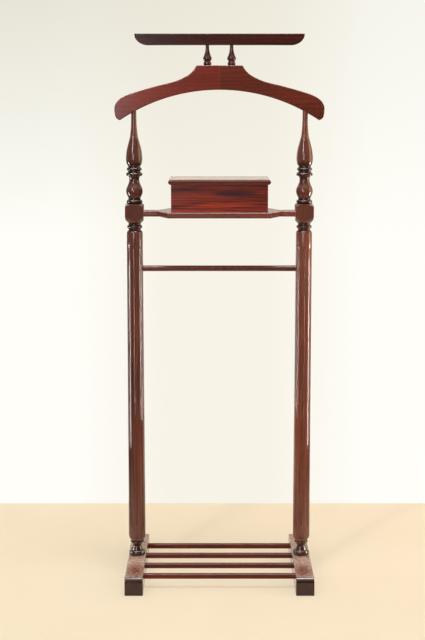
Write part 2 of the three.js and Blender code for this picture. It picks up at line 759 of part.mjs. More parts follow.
// A leaf about the hinge axis, lying to -y on the side of the joint that `up` gives. It carries every
// other knuckle, from the first one on or from the second one on.
function leafGeometry(up, firstKnuckle) {
  const half = hingeLength / 2;
  const face = up * lidGap / 2;
  const back = face + up * leafThickness;
  const low = Math.min(face, back);
  const high = Math.max(face, back);
  const clear = knuckleRadius + slip;
  const pitch = hingeLength / knuckleCount;
  const plate = block([-half, -leafDepth, low], [half, -clear, high]);
  const knuckles = [];
  for (let i = firstKnuckle; i < knuckleCount; i += 2) {
    const from = -half + i * pitch + (i > 0 ? slip / 2 : 0);
    const to = -half + (i + 1) * pitch - (i < knuckleCount - 1 ? slip / 2 : 0);
    knuckles.push(cylinder("x", knuckleRadius, from, to, [0, 0, 0], smallSides));
    knuckles.push(block([from, -clear - knuckleRoot, low], [to, 0, high]));
  }
  const pinHole = cylinder("x", pinRadius + slip, -half - overrun, half + overrun, [0, 0, 0], smallSides);
  const flip = up < 0 ? Math.PI : 0;
  const screwHoles = hingeScrewXs.map((x) =>
    solid(geometryOf(screw(hingeScrew, slip, overrun)).rotateX(flip).translate(x, -leafScrewDepth, face)));
  return geometryOf(cut(join(plate, ...knuckles), pinHole, ...screwHoles));
}

// The parts of one hinge that stay on the box, about the hinge axis.
function hingeOnBox(side, x) {
  const group = new THREE.Group();
  group.position.set(x, hingeY, hingeZ);
  const half = hingeLength / 2;
  group.add(piece(`hinge_${side}_box_leaf`, leafGeometry(-1, 0), brass));
  group.add(piece(`hinge_${side}_pin`, geometryOf(
    cylinder("x", pinRadius, -half, half, [0, 0, 0], smallSides)), brass));
  hingeScrewXs.forEach((screwX, i) => {
    const mesh = piece(`hinge_${side}_box_screw_${i + 1}`, geometryOf(screw(hingeScrew)), brass);
    mesh.rotation.x = Math.PI;
    mesh.position.set(screwX, -leafScrewDepth, -lidGap / 2 - hingeScrewSink);
    group.add(mesh);
  });
  return group;
}

// The lid and the hinge parts that turn with it, about the hinge axis.
function lid() {
  const group = new THREE.Group();
  group.position.set(0, hingeY, hingeZ);
  const bottom = lidGap / 2;
  const tip = nosingHeight;
  const rows = [
    [nosingFoot, 0],
    [nosing - nosingRound.inset, tip - nosingRound.rise],
    [nosing, tip],
    [nosing - nosingRound.inset, tip + nosingRound.rise],
    [nosingBrow, lidThickness],
  ];
  const corners = rows.flatMap(([out, rise]) => [-1, 1].flatMap((sx) => [-1, 1].map((sy) =>
    new THREE.Vector3(sx * (boxLength / 2 + out), sy * (boxDepth / 2 + out) - hingeY, bottom + rise))));
  const blank = solid(new ConvexGeometry(corners));
  const recesses = hingePlaces.flatMap(([, x]) => hingeCuts(x, 1));
  group.add(piece("box_lid", geometryOf(cut(blank, ...recesses)), boxWood));

  for (const [side, x] of hingePlaces) {
    const leaf = piece(`hinge_${side}_lid_leaf`, leafGeometry(1, 1), brass);
    leaf.position.x = x;
    group.add(leaf);
    hingeScrewXs.forEach((screwX, i) => {
      const mesh = piece(`hinge_${side}_lid_screw_${i + 1}`, geometryOf(screw(hingeScrew)), brass);
      mesh.position.set(x + screwX, -leafScrewDepth, bottom + hingeScrewSink);
      group.add(mesh);
    });
  }
  return group;
}

function box() {
  const group = new THREE.Group();
  group.add(boxWalls(), lid());
  for (const [side, x] of hingePlaces) group.add(hingeOnBox(side, x));
  return group;
}

// ---------------------------------------------------------------------------------------------
// The whole stand
// ---------------------------------------------------------------------------------------------

const stand = new THREE.Group();
stand.add(base(), posts(), hanger(), shelf(), box());

export default stand;
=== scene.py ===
# %% [markdown]
# # A clothes stand in red-brown lacquered hardwood
#
# The stand has two turned posts on plain feet, four shoe rods, a trouser bar, a shelf with a small lidded
# box, a wide coat hanger and a straight rail. This lesson models every piece at its real size around a
# fixed frame of plain solids, and gives each one a finish made of nodes.
#
# The frame is loaded first. It says where every piece is, so nothing here is fitted by eye.

# %% Load the frame
import math
from collections import namedtuple

import bmesh
import bpy
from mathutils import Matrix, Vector


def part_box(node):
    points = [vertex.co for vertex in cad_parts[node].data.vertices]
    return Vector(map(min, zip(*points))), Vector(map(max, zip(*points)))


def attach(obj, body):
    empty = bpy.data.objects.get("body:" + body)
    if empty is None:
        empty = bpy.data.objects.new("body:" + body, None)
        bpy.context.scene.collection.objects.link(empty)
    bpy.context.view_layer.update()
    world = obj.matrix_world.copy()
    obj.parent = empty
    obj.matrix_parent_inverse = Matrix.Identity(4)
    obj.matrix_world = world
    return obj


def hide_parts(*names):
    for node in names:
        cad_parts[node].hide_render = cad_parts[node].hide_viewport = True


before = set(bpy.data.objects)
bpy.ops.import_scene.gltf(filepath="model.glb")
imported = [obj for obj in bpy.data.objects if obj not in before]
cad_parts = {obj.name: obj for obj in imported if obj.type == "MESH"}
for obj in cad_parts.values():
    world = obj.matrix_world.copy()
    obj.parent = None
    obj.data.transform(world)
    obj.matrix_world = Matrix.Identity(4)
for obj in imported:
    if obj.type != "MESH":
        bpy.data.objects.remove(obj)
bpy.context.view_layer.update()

# %% [markdown]
# ## The camera
#
# The picture was taken from straight in front, with a long lens at about the height of the hanger, tipped
# nine degrees down. A camera that stands too near would widen the feet, so the distance and the focal
# length are set together: at 3.35 m an 82 mm lens frames the whole stand.

# %% Place the camera
camera_data = bpy.data.cameras.new("camera")
camera_data.lens = 81.56
camera_data.sensor_width = 36
camera = bpy.data.objects.new("camera", camera_data)
camera.location = (-0.0159, -3.348, 1.1356)
tilt_down = math.radians(8.9)
camera.rotation_euler = (math.pi / 2 - tilt_down, 0, 0)
bpy.context.scene.collection.objects.link(camera)
bpy.context.scene.camera = camera
bpy.context.scene.view_settings.view_transform = "Standard"
print("The camera stands", round(-camera.location.y, 2), "m in front of the stand")

# %% [markdown]
# ## Nodes written as short calls
#
# Every material below is a tree of nodes, and a few helpers keep them readable. `add` makes one node, and
# each input is either a plain value or another node's output, which it links. The others make the nodes that
# are used most, and return what comes out of them.

# %% Helpers for nodes
def feed(tree, node, inputs):
    """Sets each input of a node to a value, or links another node's output to it."""
    for name, value in inputs.items():
        if isinstance(value, bpy.types.NodeSocket):
            tree.links.new(value, node.inputs[name])
        else:
            node.inputs[name].default_value = value
    return node


def add(tree, kind, inputs=None, **settings):
    """A new node with its settings and its inputs."""
    node = tree.nodes.new("ShaderNode" + kind)
    for name, value in settings.items():
        setattr(node, name, value)
    return feed(tree, node, inputs or {})


def maths(tree, operation, first, second=0.0, clamp=False):
    return add(tree, "Math", {0: first, 1: second}, operation=operation, use_clamp=clamp).outputs[0]


def times(tree, first, second):
    return maths(tree, "MULTIPLY", first, second)


def vector_maths(tree, operation, first, second=(0, 0, 0)):
    return add(tree, "VectorMath", {0: first, 1: second}, operation=operation).outputs[0]


def remap(tree, value, low, high, to_low=0.0, to_high=1.0, easing="LINEAR"):
    """A value carried from one range to another, and held at the ends."""
    inputs = {"Value": value, "From Min": low, "From Max": high, "To Min": to_low, "To Max": to_high}
    return add(tree, "MapRange", inputs, interpolation_type=easing).outputs[0]


def blended(tree, factor, first, second, share=None):
    """The colour between two colours. The Mix node takes colours at 6 and 7, and gives one at 2."""
    if share is not None:
        factor = times(tree, factor, share)
    return add(tree, "Mix", {0: factor, 6: first, 7: second}, data_type="RGBA").outputs[2]


def mixed(tree, factor, first, second):
    """The shader between two shaders."""
    return add(tree, "MixShader", {0: factor, 1: first.outputs[0], 2: second.outputs[0]})


def noise(tree, place, scale, detail, roughness=0.5):
    inputs = {"Vector": place, "Scale": scale, "Detail": detail, "Roughness": roughness}
    return add(tree, "TexNoise", inputs).outputs[0]


def split(tree, vector):
    """The X, Y and Z of a vector."""
    return add(tree, "SeparateXYZ", {"Vector": vector}).outputs


def placed(tree):
    """Where a point lies on its object."""
    return add(tree, "TexCoord").outputs["Object"]


def ramp(tree, factor, stops):
    """A ramp through (position, grey) stops."""
    node = add(tree, "ValToRGB", {"Fac": factor})
    elements = node.color_ramp.elements
    while len(elements) < len(stops):
        elements.new(0.5)
    for element, (position, grey) in zip(elements, stops):
        element.position = position
        element.color = (grey, grey, grey, 1)
    return node.outputs["Color"]


print("Node helpers are ready")

# %% [markdown]
# A node group is a small tree that many materials share. Its inputs here are numbers with a usual value, or
# a vector where the value is None, and all its outputs are numbers. Colours are written as a colour picker
# shows them, and turned into the linear values that a shader takes.

# %% Helpers for groups, materials and colours
def shade_group(name, inputs, outputs):
    """A node group with named sockets. Returns it with its start's outputs and its end's inputs."""
    group = bpy.data.node_groups.new(name, "ShaderNodeTree")
    for label, value in inputs.items():
        kind = "NodeSocketVector" if value is None else "NodeSocketFloat"
        socket = group.interface.new_socket(name=label, in_out="INPUT", socket_type=kind)
        if value is not None:
            socket.default_value = value
    for label in outputs:
        group.interface.new_socket(name=label, in_out="OUTPUT", socket_type="NodeSocketFloat")
    start, end = group.nodes.new("NodeGroupInput"), group.nodes.new("NodeGroupOutput")
    return group, start.outputs, end.inputs


def use(tree, group, inputs=None):
    """Places a node group in a tree and returns its outputs."""
    return add(tree, "Group", inputs, node_tree=group).outputs


def colour(red, green, blue):
    def linear(value):
        value /= 255
        return value / 12.92 if value <= 0.04045 else ((value + 0.055) / 1.055) ** 2.4
    return (linear(red), linear(green), linear(blue), 1)


def new_material(name):
    """A material and its tree of nodes."""
    material = bpy.data.materials.new(name)
    material.use_nodes = True
    return material, material.node_tree


def toned(tone, share):
    """A colour made darker, or lighter, by a share of itself."""
    return tuple(min(1, share * v) for v in tone[:3]) + (1,)


print("Mid grey is", round(colour(128, 128, 128)[0], 3), "in a shader")

# %% [markdown]
# ## Floor and wall
#
# A dark glossy object is mostly a mirror, so what stands round it matters as much as the lamps. The wall and
# the floor are pale to the camera by themselves, and not because they are lit hard: their shader gives their
# own colour to camera, glossy and transmission rays. The floor mixes that with real shading, so that the
# stand keeps its shadow. From behind, the wall lets the view through.
#
# In the gloss the room is another one. The wall has two bright stripes beside the stand, which give the
# turned posts their light edges, and the floor is dark further out, which keeps the columns deep red.

# %% Build the room
WALL_Y = 0.585
ROOM_WIDTH, ROOM_HEIGHT = 9.0, 5.0
FLOOR_FRONT = -4.2
FLOOR_GLOW, FLOOR_SHARE = 0.98, 0.55
STRIPES = [(0.13, 1.0), (0.2, 0.4), (0.33, 0.4), (0.39, 3.0), (0.48, 3.0), (0.58, 0.4)]

wall_colour = colour(255, 254, 248)
# Painted shade on the wall: a darker tone between the posts, as the stand's shadow, and another higher up
# towards the left.
wall_shadow_colour = colour(248, 243, 231)
wall_corner_shade_colour = colour(228, 225, 210)
floor_colour, floor_cloud_colour = colour(249, 235, 210), colour(234, 212, 176)
floor_gloss_colour = colour(46, 38, 32)


def seen_directly(tree):
    """1 for rays from the camera, from gloss and through glass, and 0 for the soft light that lands."""
    path = add(tree, "LightPath").outputs
    straight = maths(tree, "MAXIMUM", path["Is Camera Ray"], path["Is Glossy Ray"])
    return maths(tree, "MAXIMUM", straight, path["Is Transmission Ray"])


def in_gloss(tree):
    return add(tree, "LightPath").outputs["Is Glossy Ray"]


def wall_shading(tree):
    place = split(tree, placed(tree))
    away = maths(tree, "ABSOLUTE", place["X"])
    # Painted shade: the tone darkens between the posts and higher up, most of all on the left.
    corner = times(tree, remap(tree, place["Z"], 0.75, 1.45), remap(tree, place["X"], 0.5, -0.5, 0.35, 1.0))
    tone = blended(tree, remap(tree, away, 0.14, 0.4), wall_shadow_colour, wall_colour)
    tone = blended(tree, corner, tone, wall_corner_shade_colour)
    strength = add(tree, "Mix", {"Factor": in_gloss(tree), "A": 1.0, "B": ramp(tree, away, STRIPES)},
                   data_type="FLOAT").outputs["Result"]
    glow = add(tree, "Emission", {"Color": tone, "Strength": strength})
    lit = add(tree, "BsdfDiffuse", {"Color": tone})
    behind = add(tree, "NewGeometry").outputs["Backfacing"]
    return mixed(tree, behind, mixed(tree, seen_directly(tree), lit, glow), add(tree, "BsdfTransparent"))


def floor_shading(tree):
    cloud = noise(tree, placed(tree), 2.2, 3.0)
    tone = blended(tree, cloud, floor_colour, floor_cloud_colour, 0.4)
    place = split(tree, placed(tree))
    aside = maths(tree, "SUBTRACT", maths(tree, "ABSOLUTE", place["X"]), 0.5)
    far = maths(tree, "MAXIMUM", aside, times(tree, place["Y"], -1.0))
    beyond = remap(tree, far, 0.35, 0.75)
    tone = blended(tree, times(tree, beyond, in_gloss(tree)), tone, floor_gloss_colour)
    lit = add(tree, "BsdfDiffuse", {"Color": tone})
    glow = add(tree, "Emission", {"Color": tone, "Strength": FLOOR_GLOW})
    return mixed(tree, times(tree, seen_directly(tree), FLOOR_SHARE), lit, glow)


def stage_plane(name, width, depth, centre, turn, shading):
    """A plane of the room, with the material that a function builds."""
    material, tree = new_material("pale " + name)
    tree.nodes.clear()
    feed(tree, tree.nodes.new("ShaderNodeOutputMaterial"), {"Surface": shading(tree).outputs[0]})
    bpy.ops.mesh.primitive_plane_add(size=1, location=centre, rotation=turn)
    plane = bpy.context.object
    plane.name = name
    plane.scale = (width, depth, 1)
    bpy.ops.object.transform_apply(location=True, rotation=True, scale=True)
    plane.data.materials.append(material)


stage_plane("floor", ROOM_WIDTH, 2 * (WALL_Y - FLOOR_FRONT), (0, WALL_Y, 0), (0, 0, 0), floor_shading)
stage_plane("wall", ROOM_WIDTH, ROOM_HEIGHT, (0, WALL_Y, ROOM_HEIGHT / 2), (math.pi / 2, 0, 0), wall_shading)
print("The wall stands", WALL_Y, "m behind the middle of the stand")

# %% [markdown]
# The sky has three looks. The camera sees it pale, the soft light that lands is dim, and the gloss sees a
# bright back of the room, a bright ceiling in front of the stand, and little else.

# %% Make the sky
WARM_WHITE = (1, 0.98, 0.95)

world = bpy.data.worlds.new("room")
world.use_nodes = True
bpy.context.scene.world = world
room = world.node_tree
room.nodes.clear()
direction = split(room, add(room, "TexCoord").outputs["Generated"])
overhead, in_front = remap(room, direction["Z"], 0.5, 0.9, 0.0, 2.0), remap(room, direction["Y"], 0.12, -0.08)
behind = remap(room, direction["Y"], -0.25, 0.6, 0.09, 0.9)
mirror = maths(room, "MAXIMUM", behind, times(room, overhead, in_front))
path = add(room, "LightPath").outputs
pale = add(room, "Background", {"Color": colour(250, 247, 238), "Strength": 1.0})
dim = add(room, "Background", {"Color": (*WARM_WHITE, 1), "Strength": mirror})
ambient = add(room, "Background", {"Color": (*WARM_WHITE, 1), "Strength": 0.35})
mirrored = maths(room, "MAXIMUM", path["Is Glossy Ray"], path["Is Transmission Ray"])
seen = mixed(room, path["Is Camera Ray"], mixed(room, mirrored, ambient, dim), pale)
feed(room, room.nodes.new("ShaderNodeOutputWorld"), {"Surface": seen.outputs[0]})
print("The sky has", len(room.nodes), "nodes")

# %% [markdown]
# ## The lamps
#
# Three soft lamps light the stand: the key from the upper left, a warm one from the right, and one on top
# for the short shadows under the rods.
#
# The other six are reflections. They light nothing and show only in the gloss: a grey sheen on the ends of
# the hanger and the rail, a line on what faces up, a spot on the left shoulder, a warm glow on the right
# side, and a strip on each side for the thin bright lines along the columns. The strips stand almost exactly
# beside the posts, where they clear the other post and stay out of the flutes in front. A row gives a lamp's
# name, size, place, target, power and tint.

# %% Light the room
LAMPS = [
    ("key", (0.3, 1.4), (-1.55, -3.0, 2.45), (0, 0, 0.7), 38, WARM_WHITE),
    ("warm side", (1.2, 1.8), (2.4, -0.5, 1.05), (0, 0, 0.8), 16, (1, 0.72, 0.44)),
    ("top", (0.9, 0.6), (0.1, -0.5, 3.1), (0, -0.1, 0), 36, WARM_WHITE),
]
REFLECTIONS = [
    ("sheen", (0.66, 1.3), (-0.9, -3.5, 1.15), (0, 0, 1.1), 21, (0.93, 0.95, 1)),
    ("ceiling", (2.4, 0.5), (0, -0.45, 3.0), (0, 0, 0.7), 26, (0.95, 0.97, 1)),
    ("shoulder", (0.5, 0.5), (-0.94, -0.05, 2.7), (-0.17, 0, 1.17), 26, (1, 1, 1)),
    ("warm glow", (0.7, 1.5), (1.3, 0.12, 0.8), (0, 0, 0.7), 11, (1, 0.55, 0.25)),
    ("left strip", (0.12, 0.6), (-1.45, -0.05, 0.31), (-0.2, 0, 0.31), 15, (1, 1, 1)),
    ("right strip", (0.12, 0.6), (1.45, -0.05, 0.31), (0.2, 0, 0.31), 18, (1, 1, 1)),
]

for rows, lights_things in ((LAMPS, True), (REFLECTIONS, False)):
    for name, size, place, target, power, tint in rows:
        data = bpy.data.lights.new(name, "AREA")
        data.shape = "RECTANGLE"
        data.size, data.size_y = size
        data.energy = power
        data.color = tint
        lamp = bpy.data.objects.new(name, data)
        lamp.location = place
        lamp.rotation_euler = (Vector(target) - Vector(place)).to_track_quat("-Z", "Y").to_euler()
        lamp.visible_camera = False
        lamp.visible_diffuse = lights_things
        bpy.context.scene.collection.objects.link(lamp)
print("There are", len(bpy.data.lights), "lamps")

# %% [markdown]
# ## What the wood looks like
#
# The grain is one node group, used by every wooden piece. Wood is a solid pattern: growth layers wrap round
# a pith that lies somewhere outside the board, and the saw or the lathe cuts through them. So the group
# measures the distance from such a pith, warps it a little, and repeats it as bands. Long thin noise adds
# dark streaks and fine pores along the grain. It takes a vector whose X runs along the grain, so the
# material turns the coordinates for upright posts and for the feet.

# %% Node group: grain
PITH_ASIDE = (0, 0.045, 0.07)


def make_grain():
    group, given, out = shade_group("wood grain", {"Vector": None, "Band": 0.006, "Seed": 0.0},
                                    ["Bands", "Streaks", "Pores", "Figure"])
    seed = given["Seed"]
    shift = add(group, "CombineXYZ", {0: seed, 1: times(group, seed, 0.37), 2: times(group, seed, 0.71)})
    place = vector_maths(group, "ADD", given["Vector"], shift.outputs[0])

    def stretched(along, across, detail, roughness=0.5):
        scaled = vector_maths(group, "MULTIPLY", place, (along, across, across))
        return noise(group, scaled, 1.0, detail, roughness)

    flat = vector_maths(group, "MULTIPLY", given["Vector"], (0, 1, 1))
    beside = vector_maths(group, "ADD", flat, PITH_ASIDE)
    distance = add(group, "VectorMath", {0: beside}, operation="LENGTH").outputs["Value"]
    bent = maths(group, "ADD", distance, times(group, stretched(2.5, 14, 2.0), 0.03))
    layers = maths(group, "FRACT", maths(group, "DIVIDE", bent, given["Band"]))
    rise = remap(group, layers, 0.0, 0.8, easing="SMOOTHSTEP")
    fall = remap(group, layers, 0.8, 1.0, 1.0, 0.0, easing="SMOOTHSTEP")
    found = {
        "Bands": times(group, rise, fall),
        "Streaks": remap(group, stretched(9, 230, 4.0, 0.6), 0.5, 0.72),
        "Pores": remap(group, stretched(70, 1500, 2.0), 0.52, 0.75),
        "Figure": stretched(3.5, 28, 3.0),
    }
    for name, source in found.items():
        group.links.new(source, out[name])
    return group


grain_group = make_grain()
print("The grain group has", len(grain_group.nodes), "nodes")

# %% [markdown]
# The wood is darkened in the hollows: painted shade in the grooves beside the rings and under the edges,
# which also stands for lacquer that pooled there. On the arrises it is worn thin, and the wood shows lighter.
# Both come from Ambient Occlusion, which looks a few millimetres round each point: outwards it finds hollows,
# and inwards it finds edges. Painting them by hand would look as good, but it would have to be done again
# whenever a shape changes.

# %% Node group: hollows and edges
def make_relief():
    group, given, out = shade_group("hollows and edges", {"Reach": 0.006}, ["Hollow", "Edge"])
    outward = add(group, "AmbientOcclusion", {"Distance": given["Reach"]}, samples=8, only_local=True)
    inward = add(group, "AmbientOcclusion", {"Distance": times(group, given["Reach"], 0.35)},
                 samples=8, only_local=True, inside=True)
    group.links.new(remap(group, outward.outputs["AO"], 0.9, 0.35), out["Hollow"])
    group.links.new(remap(group, inward.outputs["AO"], 0.9, 0.5), out["Edge"])
    return group


relief_group = make_relief()
print("The relief group has", len(relief_group.nodes), "nodes")

# %% [markdown]
# Dust lies on what faces up. It is thin and patchy, and where shoes or hands rubbed it away, the red shows
# through. The group gives a mask from the upward part of the normal and two sizes of noise.

# %% Node group: dust
def make_dust():
    group, given, out = shade_group("dust", {"Vector": None, "Amount": 0.5, "Patch": 60.0}, ["Mask"])
    up = split(group, add(group, "NewGeometry").outputs["Normal"])["Z"]
    facing = remap(group, up, 0.78, 0.995, easing="SMOOTHSTEP")
    patches = noise(group, given["Vector"], given["Patch"], 5.0, 0.65)
    specks = noise(group, given["Vector"], 520.0, 2.0)
    cloud = maths(group, "ADD", times(group, patches, 0.7), times(group, specks, 0.3))
    shown = times(group, facing, remap(group, cloud, 0.34, 0.56))
    group.links.new(maths(group, "MULTIPLY", shown, given["Amount"], clamp=True), out["Mask"])
    return group


dust_group = make_dust()
print("The dust group has", len(dust_group.nodes), "nodes")

# %% [markdown]
# ## The lacquered wood
#
# One function makes the finish of every wooden piece, so that they belong together, and each piece gives it
# its own tones. The colour comes from the grain, then the stain and the painted shade in the hollows are laid
# over it, then dust. The Principled shader's coat is the lacquer: clear, hard and slightly uneven, over wood
# that has no shine of its own. Dust dulls the coat, and on the posts it is dull in the hollows too.

# %% Material: lacquered wood
GRAIN_TURNS = {"x": (0, 0, 0), "y": (0, 0, -math.pi / 2), "z": (0, math.pi / 2, 0)}
# The stain's colour, which is also the colour of the painted shade in the hollows.
STAIN_AND_SHADE = (0.010, 0.005, 0.005, 1)
DUST_COLOUR = colour(205, 176, 158)
SHADE_AND_POOLING, WEAR, STAIN_DEPTH = 0.85, 0.3, 0.65
RIPPLE_HEIGHT = 0.0004
MM = 0.001
ZONE_BLUR = 2 * MM


def height_mask(tree, place, zones):
    """1 between the two heights of each zone, which are in millimetres, and 0 outside the zones."""
    height = split(tree, place)["Z"]
    total = None
    for low, high in zones:
        enter = remap(tree, height, low * MM - ZONE_BLUR, low * MM + ZONE_BLUR)
        leave = remap(tree, height, high * MM - ZONE_BLUR, high * MM + ZONE_BLUR, 1.0, 0.0)
        zone = times(tree, enter, leave)
        total = zone if total is None else maths(tree, "MAXIMUM", total, zone)
    return total


def lacquered(name, along, light, dark, seed, band=0.006, streak=0.5, stained=(), dust=0.0, patch=60.0,
              rough=0.16, coat=1.0, dull=0.0, texture=1.0, extra=None, rubbed=None):
    """A lacquered wood. `along` is the axis that its grain runs on."""
    material, tree = new_material(name)
    light, dark = colour(*light), colour(*dark)
    place = placed(tree)
    turned = add(tree, "Mapping", {"Vector": place, "Rotation": GRAIN_TURNS[along]}).outputs[0]
    grain = use(tree, grain_group, {"Vector": turned, "Band": band, "Seed": seed})
    relief = use(tree, relief_group)

    figure = ramp(tree, grain["Figure"], [(0.3, 0.0), (0.7, 1.0)])
    mixing = maths(tree, "ADD", times(tree, grain["Bands"], 0.35), times(tree, figure, 0.65), clamp=True)
    wood = blended(tree, mixing, dark, light)
    wood = blended(tree, grain["Streaks"], wood, toned(dark, 0.38), streak)
    wood = blended(tree, grain["Pores"], wood, STAIN_AND_SHADE, 0.35)
    if extra:
        wood = extra(tree, place, wood)
    wood = blended(tree, relief["Edge"], wood, toned(light, 2.1), WEAR)
    # Painted shade in the hollows, which also stands for lacquer that pooled there.
    wood = blended(tree, relief["Hollow"], wood, STAIN_AND_SHADE, SHADE_AND_POOLING)
    if stained:
        wood = blended(tree, height_mask(tree, place, stained), wood, STAIN_AND_SHADE, STAIN_DEPTH)

    roughness = remap(tree, noise(tree, place, 35.0, 3.0), 0.0, 1.0, 0.34, 0.52)
    shine = maths(tree, "SUBTRACT", coat, times(tree, relief["Hollow"], dull * coat))
    if dust:
        mask = use(tree, dust_group, {"Vector": place, "Amount": dust, "Patch": patch})["Mask"]
        if rubbed:
            mask = times(tree, mask, maths(tree, "SUBTRACT", 1.0, rubbed(tree, place)))
        wood = blended(tree, mask, wood, DUST_COLOUR)
        roughness = maths(tree, "ADD", roughness, times(tree, mask, 0.4), clamp=True)
        shine = times(tree, shine, maths(tree, "SUBTRACT", 1.0, times(tree, mask, 0.5)))

    ripple = times(tree, noise(tree, place, 120.0, 1.0), 0.5)
    height = maths(tree, "SUBTRACT", ripple, times(tree, grain["Pores"], 0.25))
    bump = add(tree, "Bump", {"Height": height, "Strength": 0.25, "Distance": RIPPLE_HEIGHT * texture})
    feed(tree, tree.nodes["Principled BSDF"], {
        "Base Color": wood, "Roughness": roughness, "Specular IOR Level": 0.0, "Coat Weight": shine,
        "Coat Roughness": rough, "Normal": bump.outputs[0],
    })
    return material


print("The lacquer recipe is ready")

# %% [markdown]
# ## Picking
#
# Sizes are written in millimetres, as on a workshop drawing, and turned into metres in one place. `pick`
# selects corners, edges or faces in edit mode by a test on their place or shape, where a hand would click.

# %% Helpers for picking
def at(x, y, z):
    """A point given in millimetres."""
    return Vector((x, y, z)) * MM


def span(node):
    """The lowest and highest corner of a solid of the frame, in millimetres."""
    low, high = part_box(node)
    return low / MM, high / MM


def centre_of(node):
    low, high = span(node)
    return (low + high) / 2


def put_down():
    """Leaves edit mode, with nothing selected."""
    if bpy.context.object and bpy.context.object.mode != "OBJECT":
        bpy.ops.object.mode_set(mode="OBJECT")
    bpy.ops.object.select_all(action="DESELECT")


def work_on(piece, mode="OBJECT"):
    """Selects one piece alone and enters a mode."""
    put_down()
    piece.select_set(True)
    bpy.context.view_layer.objects.active = piece
    bpy.ops.object.mode_set(mode=mode)


def pick(kind, test):
    """Selects the verts, edges or faces that pass a test, and nothing else."""
    types = {"verts": "VERT", "edges": "EDGE", "faces": "FACE"}
    bpy.ops.mesh.select_mode(type=types[kind])
    bpy.ops.mesh.select_all(action="DESELECT")
    mesh = bmesh.from_edit_mesh(bpy.context.object.data)
    for part in [part for part in getattr(mesh, kind) if test(part)]:
        part.select_set(True)
    mesh.select_flush_mode()
    bmesh.update_edit_mesh(bpy.context.object.data)


def middle(part):
    """The middle of an edge or a face, in millimetres."""
    if isinstance(part, bmesh.types.BMFace):
        return part.calc_center_median() / MM
    return (part.verts[0].co + part.verts[1].co) / (2 * MM)


print("The first foot's middle is at", [round(v, 1) for v in centre_of("foot_left")], "mm")

# %% [markdown]
# ## Drawing shapes
#
# `draw` starts from a plane whose four corners are merged to one point, and extrudes that point along a
# line, which is how an outline is drawn by hand. A lathe spins the line, and a saw fills and thickens it.

# %% Helpers for drawing
SAME_PLACE = 0.002


def tidy():
    """Edit mode: merges doubles and turns every face outwards."""
    bpy.ops.mesh.select_mode(type="VERT")
    bpy.ops.mesh.select_all(action="SELECT")
    bpy.ops.mesh.remove_doubles(threshold=SAME_PLACE * MM)
    bpy.ops.mesh.normals_make_consistent(inside=False)


def named(name, scale=(1, 1, 1)):
    """Names the shape that was just added and stretches it, and puts its place and turn into its mesh."""
    piece = bpy.context.object
    piece.name = piece.data.name = name
    piece.scale = scale
    bpy.ops.object.transform_apply(location=True, rotation=True, scale=True)
    return piece


def draw(name, points):
    """A new piece in edit mode: one line drawn through the points."""
    put_down()
    bpy.ops.mesh.primitive_plane_add(size=MM, location=points[0])
    piece = named(name)
    bpy.ops.object.mode_set(mode="EDIT")
    bpy.ops.mesh.select_mode(type="VERT")
    bpy.ops.mesh.select_all(action="SELECT")
    bpy.ops.mesh.merge(type="CENTER")
    for here, there in zip(points, points[1:]):
        bpy.ops.mesh.extrude_region_move(TRANSFORM_OT_translate={"value": there - here})
    bpy.ops.mesh.select_all(action="SELECT")
    return piece


def turn_on_lathe(name, profile, sides=192, centre=(0, 0)):
    """A turned piece on an upright axis, spun from [height, radius] pairs that run upwards."""
    x, y = centre
    points = [(profile[0][0], 0), *profile, (profile[-1][0], 0)]
    piece = draw(name, [at(x + radius, y, height) for height, radius in points])
    bpy.ops.mesh.spin(steps=sides, angle=math.tau, center=at(x, y, 0), axis=(0, 0, 1))
    tidy()
    bpy.ops.object.mode_set(mode="OBJECT")
    return piece


def saw_out(name, outline, plane, start, end):
    """A board from an outline in the "xz" or "xy" plane, from start to end on the third axis."""
    if plane == "xz":
        points, across = [at(a, start, b) for a, b in outline], at(0, end - start, 0)
    else:
        points, across = [at(a, b, start) for a, b in outline], at(0, 0, end - start)
    piece = draw(name, [*points, points[0]])
    bpy.ops.mesh.remove_doubles(threshold=SAME_PLACE * MM)
    bpy.ops.mesh.edge_face_add()
    bpy.ops.mesh.extrude_region_move(TRANSFORM_OT_translate={"value": across})
    tidy()
    bpy.ops.object.mode_set(mode="OBJECT")
    return piece


def board(name, low, high):
    """A cube stretched between two corners."""
    put_down()
    bpy.ops.mesh.primitive_cube_add(size=1, location=at(*((low[i] + high[i]) / 2 for i in range(3))))
    return named(name, at(*(high[i] - low[i] for i in range(3))))


def peg(name, axis, radius, start, end, through, sides=48):
    """A cylinder along an axis, for cutting holes and as a blank."""
    centre = list(through)
    centre["xyz".index(axis)] = (start + end) / 2
    turn = {"x": (0, math.pi / 2, 0), "y": (math.pi / 2, 0, 0), "z": (0, 0, 0)}[axis]
    put_down()
    bpy.ops.mesh.primitive_cylinder_add(vertices=sides, radius=radius * MM, depth=(end - start) * MM,
                                        location=at(*centre), rotation=turn)
    return named(name)


print("The drawing tools are ready")

# %% [markdown]
# ## Working on shapes
#
# A drawn shape is then cut, rounded, shaded and copied. `settle` comes last for every piece: it gives the
# piece its finish, and says which body it rides on and which solid of the frame it takes the place of.

# %% Helpers for finishing shapes
def finish_with(piece, kind, **settings):
    """Adds a modifier with its settings and applies it."""
    work_on(piece)
    modifier = piece.modifiers.new(kind.lower(), kind)
    for name, value in settings.items():
        setattr(modifier, name, value)
    bpy.ops.object.modifier_apply(modifier=modifier.name)


def carve(piece, *tools, operation="DIFFERENCE"):
    """Cuts tools out of a piece, or joins them to it, and removes the tools."""
    for tool in tools:
        finish_with(piece, "BOOLEAN", object=tool, operation=operation, solver="EXACT")
        bpy.data.objects.remove(tool)
    return piece


def drill(piece, axis, radius, start, end, through, sides=16):
    """Cuts a round hole."""
    carve(piece, peg("drill", axis, radius, start, end, through, sides))


